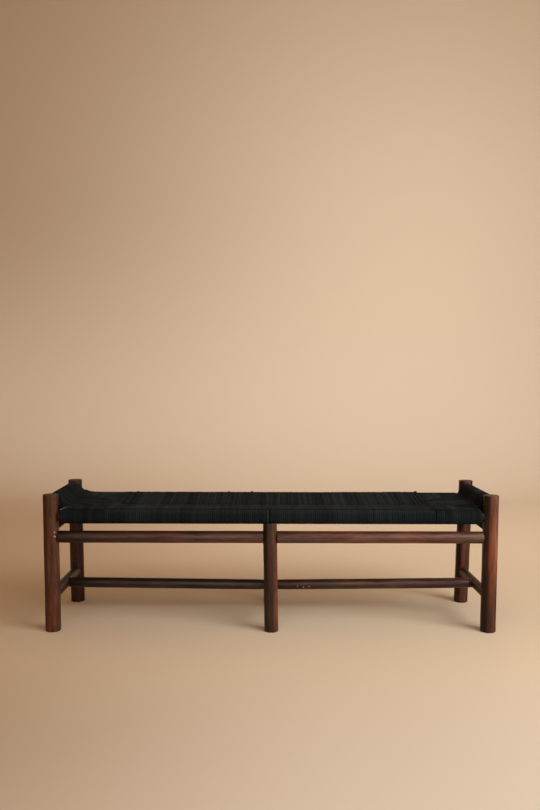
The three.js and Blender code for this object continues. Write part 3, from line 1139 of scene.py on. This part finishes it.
@dataclass
class CordSeat:
    """The seat: one cord wound round the rails.

    Round each corner it goes over an end rail and a side rail in turn, and dives inside on the seam
    between them. Once those rounds meet on the centre line, it goes on in figures of eight over the
    two side rails, crossing itself in the slit.

    Attributes:
        legs: The legs that the rails join.
        rail_radius: Radius of the seat rails.
        cord: Thickness of the cord.
        side_start: Where the winding of a side rail starts, from the end rail.
        end_start: Where the winding of an end rail starts, from the side rail.
        layers_at_slit: Thickness of the deck on the centre line, in cords.
        tip_swell: How much thicker it is at the tips of the corners' rounds.
        swell_run: How far that thickness fades over.
        kink_rise: How far an end rail's strands stand off the deck at the foot of their fall.
        rounds: Turns round each corner.
        figures: Figures of eight.
        sides: Points round the cord.
        squareness: Power of its packed section, where 2 is round.
        lay: Length of one turn of its plies.
        turn_in: How far it bends before it dives inside.
        sag: How far it hangs off the undersides of the side rails.
        crossing: How far from the centre line the figures of eight reach their deck line.
        spread: Half a strand's width, as a share of the spacing.
        seed: Seed of its unevenness.
        falls: How the strands fall from each end rail.
        knots: Places of the knots on the back rail's crest.
        parted: Place of the parted strand on the front rail.
        parted_width: Half the width of that strand.
        knot_rise: How far a knot stands up.
        crest_lifts: How far the loops stand off the front rail's crest, the back one's, and how much more
            so there at the right.
        front_foot: Where the front corners' first strands reach the seat, from the end rail.
        pile: The corner whose first rounds are piled up.
        wander: How far the strands stray.
        bulges: How far the strands stand off each end rail, at its front and its back.
        loose: The loose strand: distance from the left end rail, Y, Z and tone of each point; its high
            tones paint a pale highlight.
        loose_size: Half its width and half its thickness.
    """

    legs: Legs
    rail_radius: float = 0.0185
    cord: float = 0.0065
    side_start: float = 0.0355
    end_start: float = 0.0275
    layers_at_slit: float = 3.0
    tip_swell: float = 0.009
    swell_run: float = 0.045
    kink_rise: float = 0.0035
    rounds: int = 21
    figures: int = 164
    sides: int = 8
    squareness: float = 4.0
    lay: float = 0.02
    turn_in: float = 0.0025
    sag: float = 0.0015
    crossing: float = 0.015
    spread: float = 0.6
    seed: int = 7
    falls: dict[End, Fall] = field(default_factory=lambda: {
        End.LEFT: Fall(0.003, 0.050), End.RIGHT: Fall(0.014, 0.038),
    })
    knots: tuple[float, ...] = (-0.4936, -0.1575, -0.0678, 0.5787, 0.6572)
    parted: float = -0.0095
    parted_width: float = 0.0016
    knot_rise: float = 0.0012
    crest_lifts: tuple[float, float, float] = (0.0003, 0.0014, 0.002)
    front_foot: float = 0.029
    pile: Pile = Pile()
    wander: Wander = Wander()
    bulges: dict[End, tuple[float, float]] = field(default_factory=lambda: {
        End.LEFT: (0.005, 0.004), End.RIGHT: (0.006, 0.0),
    })
    loose: tuple[tuple[float, float, float, float], ...] = (
        (0.0325, -0.1885, 0.4066, 3.0), (0.0356, -0.1870, 0.4076, 3.0), (0.0392, -0.1840, 0.4087, 2.7),
        (0.0445, -0.1755, 0.4104, 2.35), (0.0513, -0.1680, 0.4124, 2.3), (0.0570, -0.1670, 0.4125, 1.0),
        (0.0630, -0.1660, 0.4127, 2.35), (0.0690, -0.1640, 0.4128, 0.2),
    )
    loose_size: tuple[float, float] = (0.0012, 0.0009)

    def __post_init__(self) -> None:
        """Works out the sizes that follow."""
        self.half_depth = self.legs.depth_spacing / 2
        self.centre_radius = self.rail_radius + self.cord / 2
        self.tip = self.half_depth + self.side_start - self.end_start
        self.slit_half = self.layers_at_slit * self.cord / 2
        self.side_z = self.legs.side_rail_height
        self.end_z = self.legs.end_rail_height
        self.length = self.legs.spacing

    def place(self, run: Array, y: Array, z: Array) -> Array:
        """Points from distances along the bench.

        Args:
            run: Distance from the left end rail's centre line, of the legs' spacing.
            y: Place from front to back.
            z: Height.

        Returns:
            The points, with X between the two end rails' centre lines, which the legs' leans set.
        """
        back = (y + self.half_depth) / self.legs.depth_spacing

        def rail(end: End) -> Array:
            """An end rail's centre line, as places along X."""
            front, rear = (self.legs.legs[f"leg_{side}_{end.value}"] for side in ("front", "back"))
            return lerp(front.middle(self.end_z), rear.middle(self.end_z), back)

        return stacked(lerp(rail(End.LEFT), rail(End.RIGHT), run / self.length), y, z)

    def deck(self, inward: Array, run: Array, side: float) -> Array:
        """Centre line of a side rail's top or bottom strands: straight from the rail to the slit.

        The slit's half is thicker by the swell, which is full up to the tips of the corners' rounds and
        then fades; the bottom has half of it.

        Args:
            inward: Distance from the side rail's centre line.
            run: Distance from the nearer end rail.
            side: 1 for the top, -1 for the bottom.

        Returns:
            The heights.
        """
        swell = self.tip_swell * (1.0 - np.clip((run - self.tip) / self.swell_run, 0.0, 1.0))
        slit = self.slit_half + swell / (1.0 if side > 0.0 else 2.0) - self.cord / 2
        return self.side_z + side * lerp(self.centre_radius, slit, inward / self.half_depth)

    def arc(
        self, height: float, lift: Any = 0.0, bulge: Any = 0.0, sag: float = 0.0,
    ) -> tuple[Array, Array]:
        """Half a turn round a rail, from its crest over its outer face to its underside.

        Args:
            height: Height of the rail's centre line.
            lift: How far the cord stands off the crest.
            bulge: How far it stands off 35 degrees down the outer face.
            sag: How far it hangs off the underside.

        Returns:
            Distances inward, -radius * sin(angle), and heights, height + radius * cos(angle).
        """
        angle = np.radians([0.0, 11.0, 21.0, 31.0, 48.0, 68.0, 90.0, 112.0, 134.0, 157.0, 180.0])[None]
        radius = self.centre_radius + lift * np.clip(np.cos(angle), 0.0, 1.0) ** 2
        radius = radius + sag * np.clip(-np.cos(angle), 0.0, 1.0) ** 2
        radius = radius + bulge * bell(angle - np.radians(35.0), np.radians(30.0))
        return -radius * np.sin(angle), height + radius * np.cos(angle)

    def figure_eights(self) -> Run:
        """The cord over the side rails in the middle of the bench.

        Half-loops go over the front and the back rail in turn, half a spacing apart. Each starts and
        ends on the centre line at the slit's mid height, where the cord crosses itself, and rises to
        its deck line within a short way: height = mid + (line - mid) * sin(90 degrees * share).

        Returns:
            One long run.
        """
        rng = np.random.default_rng(self.seed)
        halves = 2 * self.figures
        number = np.arange(halves)[:, None]
        front = number % 2 == 0
        spacing = (self.length - 2 * self.tip) / self.figures
        base = self.tip + (number + 0.5) * spacing / 2
        from_end = np.minimum(base, self.length - base)

        near_slit, open_deck = [0.0, 0.0035, 0.007, 0.011, 0.016], np.linspace(0.032, self.half_depth, 6)
        from_slit = np.concatenate([near_slit, open_deck[:-1]])[None]
        inward = self.half_depth - from_slit
        rise = np.sin(np.pi / 2 * np.clip(from_slit / self.crossing, 0.0, 1.0))
        stray = self.wander
        slack = stray.slack * drifting(rng, halves, 1.0) * np.sin(np.pi * inward / self.half_depth)
        front_lift, back_lift, right_lift = self.crest_lifts
        to_right = np.clip((base - 0.9) / 0.4, 0.0, 1.0)
        lift = np.where(front, front_lift, back_lift + right_lift * to_right)
        lift = lift + stray.lift * rng.uniform(-1, 1, (halves, 1))
        top = lerp(self.side_z, self.deck(inward, from_end, 1.0), rise) + slack
        top = top + lift * (from_slit / self.half_depth) ** 2
        bottom = lerp(self.side_z, self.deck(inward, from_end, -1.0), rise) - slack
        arc_inward, arc_height = self.arc(self.side_z, lift, sag=self.sag)
        inwards = np.broadcast_to(inward, top.shape)
        from_slit = self.half_depth - np.concatenate([inwards, arc_inward, inwards[:, :0:-1]], axis=1)
        height = np.concatenate([top, arc_height, bottom[:, :0:-1]], axis=1)
        crest, points = inward.shape[1], height.shape[1]

        # The loops wander by what five keys say: the slit, the rail's top, its face, below, the slit.
        way = np.linspace(0.0, 1.0, points)[None]
        weights = np.stack([np.interp(way[0], [0.0, 0.36, 0.5, 0.64, 1.0], row) for row in np.eye(5)])
        drifts, jitter = stray.slit
        at_slit = drifts * drifting(rng, halves + 1, 4.0) + jitter * rng.standard_normal((halves + 1, 1))
        drifts, jitter = stray.rail
        at_rail = drifts * drifting(rng, halves, 5.0) + jitter * rng.standard_normal((halves, 1))
        at_face = at_rail + stray.face * drifting(rng, halves, 3.0)
        below = at_face + stray.face * drifting(rng, halves, 3.0)
        drift = np.hstack([at_slit[:-1], at_rail, at_face, below, at_slit[1:]]) @ weights
        run = base + spacing * (way - 0.5) / 2 + drift
        place = self.place(run, np.where(front, -1.0, 1.0) * from_slit, height)

        squeeze = bell(from_slit, 0.009)
        nearest = np.argmin(np.abs(place[:, crest, :1] - np.array(self.knots)) + front, axis=0)
        knot = np.isin(number, nearest) * bell(np.arange(points) - crest, 1.0)
        place[..., 2] += self.knot_rise * knot
        widths = self.spread * spacing * (1.0 - 0.42 * squeeze)
        heights = self.cord / 2 * (1.0 + 0.2 * squeeze)
        tones = self.deck_tones(rng, front, crest, points)

        face = slice(crest + 2, crest + 10)
        parted = np.argmin(np.abs(place[:, crest + 5, 0] - self.parted) + ~front[:, 0])
        tones[parted, face], widths[parted, face] = 1.6, self.parted_width
        place[parted, face, 1] -= 0.0008
        place[parted + 2, face, 0] += 0.0012
        tones[parted + 2, face] = 0.0
        sides = np.broadcast_to([1.0, 0.0, 0.0], place.shape)
        swollen = 1.0 + 0.35 * knot
        return Run(place, sides, widths * swollen, heights * swollen, tones).as_one()

    def deck_tones(self, rng: np.random.Generator, front: Array, crest: int, points: int) -> Array:
        """How pale the figures of eight are: painted light on the deck, paler on its front half, and
        painted shade round the rail, with a dark line of painted shade just past the crest and a pale band
        of painted sheen below it.

        Args:
            rng: Source of the strands' unevenness.
            front: Whether each half-loop goes over the front rail, as a column.
            crest: Number of the point on the rail's crest.
            points: How many points a half-loop has.

        Returns:
            The tones, as (half-loops, points).
        """
        halves, number = len(front), np.arange(points)[None]
        chance = rng.uniform(0.0, 1.0, (halves, 1)) ** 2
        fading = np.random.default_rng(self.seed + 5)
        faded = 0.17 * drifting(fading, halves, 7.0) + 0.06 * drifting(fading, halves, 1.0)
        # Painted light: the deck is paler than the rail's face, and its front half paler still.
        on_deck = np.where(front, 0.56 + 0.25 * chance, 0.3 + 0.55 * chance) + faded
        # Painted shade round the rail: a dark line just past the crest, a pale band of painted sheen below
        # it, then the darker face.
        keys = [crest + 1, crest + 2, crest + 3, crest + 5]
        on_face = np.interp(number, keys, [0.1, 0.3, 0.6, 0.2]) + 0.5 * faded
        return np.clip(np.where(number <= crest, on_deck, on_face) + 0.15 * (chance - 0.3), 0.0, 1.2)

    def side_loop(self, inward_end: Array, run: Array, seam: Array, lift: Array) -> tuple[Array, Array]:
        """A loop over a side rail near a corner, from its top's inner end to its bottom's.

        Args:
            inward_end: Where each strand's top ends, inward of the side rail, as a column.
            run: Each strand's distance from the end rail.
            seam: Where its bottom ends.
            lift: How far it stands off the crest.

        Returns:
            Distances inward of the side rail, and heights.
        """
        share = np.array([[1.0, 0.85, 0.65, 0.45, 0.25, 0.1]])
        top = np.hstack([inward_end, (inward_end - self.turn_in) * share])
        bottom = np.hstack([(seam - self.turn_in) * share[:, ::-1], seam])
        arc_inward, arc_height = self.arc(self.side_z, lift, sag=self.sag)
        top_height = self.deck(top, run, 1.0) + lift * (1.0 - top / inward_end) ** 2
        height = np.hstack([top_height, arc_height, self.deck(bottom, run, -1.0)])
        return np.hstack([top, arc_inward, bottom]), height

    def end_loop(
        self, inward: Array, run_end: Array, seam: Array, shoulder: float, foot: Array, bulge: Array,
    ) -> tuple[Array, Array]:
        """A loop over an end rail, from its top's inner end to its bottom's.

        Args:
            inward: Each strand's distance inward of the side rail, as a column.
            run_end: Where its top dives inside, from the end rail.
            seam: Where its bottom does.
            shoulder: Where it starts to fall from the crest.
            foot: Where it reaches the seat.
            bulge: How far it stands off the outer face.

        Returns:
            Distances from the end rail, and heights.
        """
        straight = run_end - self.turn_in - foot
        beyond = np.hstack([run_end, foot + straight * np.array([[1.0, 0.7, 0.35]])])
        share = np.linspace(1.0, 0.0, 10)[None]
        foot_height = self.side_z + self.centre_radius + self.kink_rise
        seam_height = self.deck(inward, run_end, 1.0) + self.cord * 0.4
        beyond_height = lerp(foot_height, seam_height, (beyond - foot) / (run_end - foot))
        crest = self.end_z + self.centre_radius
        fall_height = lerp(foot_height, crest, (1.0 + np.cos(np.pi * share)) / 2)
        fall_height = np.broadcast_to(fall_height, (len(foot), share.size))
        arc_run, arc_height = self.arc(self.end_z, 0.0, bulge)
        under = np.linspace(0.0, 1.0, 7)[None, 1:]
        bottom = self.deck(inward, seam, -1.0) + self.cord
        under_height = lerp(self.end_z - self.centre_radius, bottom, under)
        run = np.hstack([beyond, lerp(shoulder, foot, share), arc_run, seam * under])
        return run, np.hstack([beyond_height, fall_height, arc_height, under_height])

    def corner(self, side: Side, end: End, rng: np.random.Generator, end_first: bool) -> Run:
        """One corner's loops for every round.

        Args:
            side: Which side rail.
            end: Which end rail.
            rng: Source of the strands' unevenness.
            end_first: Whether the cord goes over the end rail before the side rail.

        Returns:
            A run of as many strands as there are rounds.
        """
        spacing = (self.half_depth - self.end_start) / self.rounds
        number = (np.arange(self.rounds) + 0.5)[:, None]
        inward, run = self.end_start + number * spacing, self.side_start + number * spacing
        fall = self.falls[end]
        pile, piled = self.pile, float((side, end) == (self.pile.side, self.pile.end))
        lift = 0.0005 + pile.height * piled * np.exp(-(run - self.side_start) / pile.reach)
        foot = fall.foot + pile.foot * piled * np.exp(-number / 2.0)
        if side is Side.FRONT:
            foot = foot - (fall.foot - self.front_foot) * np.exp(-(number - 0.5) / 1.2)
        run_end = np.maximum(run + 0.003, foot + 0.006)
        back = 0.5 + side.value * (self.half_depth - inward) / self.legs.depth_spacing
        bulge = lerp(*self.bulges[end], back)
        u_side, z_side = self.side_loop(inward - 0.0015, run, inward, lift)
        v_end, z_end = self.end_loop(inward, run_end, run, fall.shoulder, foot, bulge)
        mid = (z_side[:, :1] + z_side[:, -1:]) / 2

        def wandering(line: Array, points: int, once: float, twice: float) -> Array:
            """Moves strands off their lines by half a wave and by a whole one.

            Args:
                line: Their lines.
                points: How many points they have.
                once: Spread of the half wave's height.
                twice: Spread of the whole wave's height.

            Returns:
                The strands' places.
            """
            way = np.linspace(0.0, 1.0, points)[None]
            half = once * drifting(rng, self.rounds, 1.5) * np.sin(np.pi * way)
            return line + half + twice * drifting(rng, self.rounds, 1.5) * np.sin(FULL_TURN * way)

        v_side = wandering(run, u_side.shape[1], *self.wander.side_round)
        u_end = wandering(inward, v_end.shape[1], *self.wander.end_round)
        shade = np.random.default_rng(self.seed + 10 + 2 * (side is Side.FRONT) + (end is End.LEFT))

        def part(u: Array, v: Array, z: Array, facing: Point, size: float = 1.0) -> Run:
            """Makes a run of cord.

            Args:
                u: Distances inward of the side rail.
                v: Distances from the end rail.
                z: Heights.
                facing: The way that the cord's side faces.
                size: Its size, as a share of the cord's.

            Returns:
                The run.
            """
            along = v if end is End.LEFT else self.length - v
            points = self.place(along, side.value * (self.half_depth - u), z)
            tones = 0.3 + 0.55 * rng.uniform(0.0, 1.0, (self.rounds, 1)) ** 2
            tones = np.clip(tones + 0.22 * drifting(shade, self.rounds, 1.0), 0.0, 1.2)
            ones = np.ones(points.shape[:2])
            return Run(
                points, np.broadcast_to(facing, points.shape), self.spread * spacing * size * ones,
                self.cord / 2 * size * ones, tones * ones,
            )

        along_x, along_y, between = (1.0, 0.0, 0.0), (0.0, 1.0, 0.0), (0.7071, 0.7071, 0.0)
        deep = 0.02
        over_side = part(u_side, v_side, z_side, along_x)
        over_end = part(u_end, v_end, z_end, along_y)
        # Painted shade: the side loops past the crest, the end loops' fall into the seat, and their outer
        # face and underside.
        over_side.tones[:, 8:] *= 0.35
        over_end.tones[:, 4:13] *= 0.5
        over_end.tones[:, 18:] *= 0.2
        link = part(inward, run, mid, between, 0.8)
        into_side = part(inward + deep, run, mid, along_x)
        into_end = part(inward, run + deep, mid, along_y)
        order = [into_side, over_side, link, over_end, into_end]
        return Run.joined(order[::-1] if end_first else order)

    def corner_rounds(self) -> Run:
        """The cord round the four corners, round after round.

        Each round takes the corners in turn: front left, back left, back right, front right. Between
        them the cord runs inside the seat.

        Returns:
            One long run.
        """
        rng = np.random.default_rng(self.seed + 2)
        return Run.joined([
            self.corner(Side.FRONT, End.LEFT, rng, True),
            self.corner(Side.BACK, End.LEFT, rng, False),
            self.corner(Side.BACK, End.RIGHT, rng, True),
            self.corner(Side.FRONT, End.RIGHT, rng, False),
        ]).as_one()

    def loose_strand(self) -> Run:
        """A fine strand that lies over the cord in the front left corner, beside the leg, painted pale as a
        highlight.
        """
        run, y, z, tones = np.array(self.loose).T[:, None]
        points = self.place(run, y, z)
        facing = np.broadcast_to([0.0, 1.0, 0.3], points.shape)
        width, height = (np.full(run.shape, size) for size in self.loose_size)
        return Run(points, facing, width, height, tones)

    def tube(self, name: str, run: Run) -> Skin:
        """A tube along a run of cord, with the squarish section of cord that is packed tight.

        The ring at a point is centre + width * bent(cos(angle)) * side + height * bent(sin(angle)) *
        normal, where bent(value) is sign(value) * |value| ** (2 / squareness). The side is square to the
        cord, and the normal to both.

        Args:
            name: Name of the piece.
            run: One run of cord.

        Returns:
            The skin.
        """
        centre = run.points[0]
        tangent = np.gradient(centre, axis=0)
        tangent /= np.linalg.norm(tangent, axis=-1, keepdims=True)
        side = run.sides[0] - (run.sides[0] * tangent).sum(-1, keepdims=True) * tangent
        side /= np.linalg.norm(side, axis=-1, keepdims=True)
        normal = np.cross(tangent, side)
        angle = (np.arange(self.sides) / self.sides * FULL_TURN)[None, :, None]
        waves, power = (np.cos(angle), np.sin(angle)), 2.0 / self.squareness
        wide, high = (np.sign(wave) * np.abs(wave) ** power for wave in waves)
        rings = (
            centre[:, None] + run.widths[0][:, None, None] * wide * side[:, None]
            + run.heights[0][:, None, None] * high * normal[:, None]
        )
        step = np.linalg.norm(np.diff(centre, axis=0), axis=-1)
        turns = np.concatenate([[0.0], np.cumsum(step)]) / self.lay
        tone = np.broadcast_to(run.tones[0][:, None], rings.shape[:2])
        return Skin(name, rings, {"tone": tone}, turns)

    def build(self, cord: bpy.types.Material) -> None:
        """Makes the seat.

        Args:
            cord: Its material.
        """
        runs = {
            "seat_cord_middle": self.figure_eights(), "seat_cord_ends": self.corner_rounds(),
            "seat_cord_loose": self.loose_strand(),
        }
        for name, run in runs.items():
            hand_in(self.tube(name, run).build(), cord, Slot.CORD, "woven_seat")


# The studio


@dataclass(frozen=True)
class PaperSweep:
    """Matt warm beige paper, painted a little darker at the left, at the floor's front and high on the
    wall, as painted shade for the lamps' falloff.
    """

    floor: Colour = linear(225, 208, 181)
    floor_left: Colour = linear(200, 178, 150)
    front: Colour = linear(213, 201, 182)
    front_left: Colour = linear(178, 157, 130)
    wall_low: Colour = linear(225, 213, 193)
    wall_high: Colour = linear(219, 206, 185)
    wall_left: Colour = linear(193, 176, 153)

    def material(self) -> bpy.types.Material:
        """Mixes the colours by the place on the paper.

        Returns:
            The material.
        """
        tree = ShaderTree(bpy.data.materials.new("paper_sweep"))
        across, back, up = tree.parts(tree.node("ShaderNodeTexCoord", {}, output="Object"), "XYZ")
        floor = tree.mix(across.step(-1.3, 0.2), self.floor_left, self.floor)
        front = tree.mix(across.step(-1.1, 0.2), self.front_left, self.front)
        floor = tree.mix(back.step(-1.1, -0.3), front, floor)
        high = tree.mix(across.step(-2.4, 1.6), self.wall_left, self.wall_high)
        wall = tree.mix(up.step(0.3, 2.2), self.wall_low, high)
        colour = tree.mix(back.step(1.6, 3.4), floor, wall)
        return tree.principled(Base_Color=colour, Roughness=0.9, Specular_IOR_Level=0.2)


@dataclass(frozen=True)
class Lamp:
    """A soft rectangular white light.

    Attributes:
        place: Where it stands.
        target: What it points at.
        size: Its width and height.
        power: Its power in watts.
    """

    place: Point
    target: Point
    size: tuple[float, float]
    power: float

    def build(self, name: str) -> None:
        """Sets up the light, unseen by the camera.

        Args:
            name: Its name.
        """
        data = bpy.data.lights.new(name, "AREA")
        data.shape, data.energy = "RECTANGLE", self.power
        data.size, data.size_y = self.size
        lamp = put_in(name, data)
        lamp.location = self.place
        lamp.rotation_euler = (Vector(self.target) - lamp.location).to_track_quat("-Z", "Y").to_euler()
        lamp.visible_camera = False


@dataclass
class Studio:
    """A paper sweep, soft lights and the camera.

    Attributes:
        picture: The picture's width and height in pixels.
        focal_pixels: The camera's focal length in pixels.
        sensor: Its sensor's width in millimetres.
        camera_place: Where it stands.
        pitch: How far it is tipped down, in degrees.
        yaw: How far it is turned to the right.
        roll: How far it is rolled.
        bend: Where the paper's floor starts to turn up.
        bend_radius: Radius of that turn.
        paper_reach: How far the paper goes to the left and to the right.
        paper_front: Where its floor starts.
        paper_top: Height of its wall.
        faint_light: Strength of the even light.
        faint_colour: Its colour.
        beyond: Colour behind the paper, for the camera alone.
        lamps: The lights.
    """

    picture: tuple[int, int] = (540, 810)
    focal_pixels: float = 828.0
    sensor: float = 36.0
    camera_place: Point = (-0.00807, -2.8985, 0.8861)
    pitch: float = 2.785
    yaw: float = 0.090
    roll: float = -0.139
    bend: float = 2.4
    bend_radius: float = 1.2
    paper_reach: float = 2.6
    paper_front: float = -7.0
    paper_top: float = 6.0
    faint_light: float = 0.32
    faint_colour: Colour = (1.0, 0.51, 0.21, 1.0)
    beyond: Colour = linear(205, 178, 148)
    lamps: dict[str, Lamp] = field(default_factory=lambda: {
        "key_light": Lamp((2.7, -2.3, 2.5), (0.0, 0.1, 0.2), (2.4, 2.2), 86.0),
        "low_light": Lamp((2.4, -1.7, 0.7), (0.0, 0.0, 0.3), (1.1, 0.9), 18.0),
        "front_light": Lamp((0.3, -4.6, 1.9), (0.0, 0.0, 0.4), (6.0, 4.0), 88.0),
        "high_light": Lamp((1.5, -4.2, 3.0), (0.0, 0.0, 0.4), (3.0, 2.0), 12.0),
        "backdrop_light": Lamp((0.8, 0.9, 2.2), (0.8, 3.4, 1.2), (3.0, 0.8), 26.0),
        "strip_light": Lamp((0.7, -1.3, 2.8), (0.1, -0.2, 0.3), (3.0, 0.35), 6.0),
    })

    def camera(self) -> None:
        """Sets up the camera: its view points along +Y, turned by the yaw, tipped down and rolled."""
        pitch, yaw, roll = np.radians([self.pitch, self.yaw, self.roll])
        ahead = np.array([np.sin(yaw) * np.cos(pitch), np.cos(yaw) * np.cos(pitch), -np.sin(pitch)])
        right = np.array([np.cos(yaw), -np.sin(yaw), 0.0])
        down = np.cross(ahead, right)
        rolled_right = np.cos(roll) * right + np.sin(roll) * down
        rolled_down = np.cos(roll) * down - np.sin(roll) * right
        data = bpy.data.cameras.new("camera")
        data.sensor_width = self.sensor
        data.lens = self.focal_pixels / max(self.picture) * self.sensor
        camera = put_in("camera", data)
        turn = Matrix(np.stack([rolled_right, -rolled_down, -ahead], axis=1).tolist()).to_4x4()
        camera.matrix_world = Matrix.Translation(Vector(self.camera_place)) @ turn
        bpy.context.scene.camera = camera

    def sweep(self) -> None:
        """Makes the paper: a level floor, a quarter circle and an upright wall, carried along X."""
        angle = np.linspace(0.0, np.pi / 2, 25)
        wall = self.bend + self.bend_radius
        turn = self.bend_radius * np.stack([np.sin(angle), 1.0 - np.cos(angle)])
        y = np.concatenate([[self.paper_front, -3.0, 0.0], self.bend + turn[0], [wall]])
        z = np.concatenate([[0.0, 0.0, 0.0], turn[1], [self.paper_top]])
        x = np.linspace(-self.paper_reach, self.paper_reach, 15)
        index = np.arange(len(x) * len(y)).reshape(len(x), len(y))
        quads = np.stack([index[:-1, :-1], index[1:, :-1], index[1:, 1:], index[:-1, 1:]], axis=-1)
        mesh = smooth_mesh("paper_sweep", stacked(x[:, None], y, z).reshape(-1, 3), quads.reshape(-1, 4))
        mesh.materials.append(PaperSweep().material())
        paper = put_in("paper_sweep", mesh)

    def world(self) -> None:
        """Sets a faint even light, with the paper's colour behind the sweep for the camera alone."""
        world = bpy.data.worlds.new("studio")
        tree = ShaderTree(world)
        faint = tree.nodes["Background"]
        tree.feed(faint, {"Color": self.faint_colour, "Strength": self.faint_light})
        shares = {
            "Fac": tree.node("ShaderNodeLightPath", {}, output="Is Camera Ray"),
            1: Wire(tree, faint.outputs["Background"]),
            2: tree.node("ShaderNodeBackground", {}, {"Color": self.beyond}),
        }
        tree.feed(tree.nodes["World Output"], {"Surface": tree.node("ShaderNodeMixShader", {}, shares)})
        bpy.context.scene.world = world

    def build(self) -> None:
        """Sets up the studio."""
        self.camera()
        self.sweep()
        for name, lamp in self.lamps.items():
            lamp.build(name)
        self.world()
        bpy.context.scene.view_settings.view_transform = "Standard"


def main() -> None:
    """Builds the bench and the studio in order."""
    logging.basicConfig(level=logging.INFO, format="%(message)s")
    wood = StainedWood().material()
    legs = Legs()
    legs.build(wood)
    Bars(legs).build(wood)
    CordSeat(legs).build(BlackCord().material())
    Studio().build()


if __name__ == "__main__":
    main()
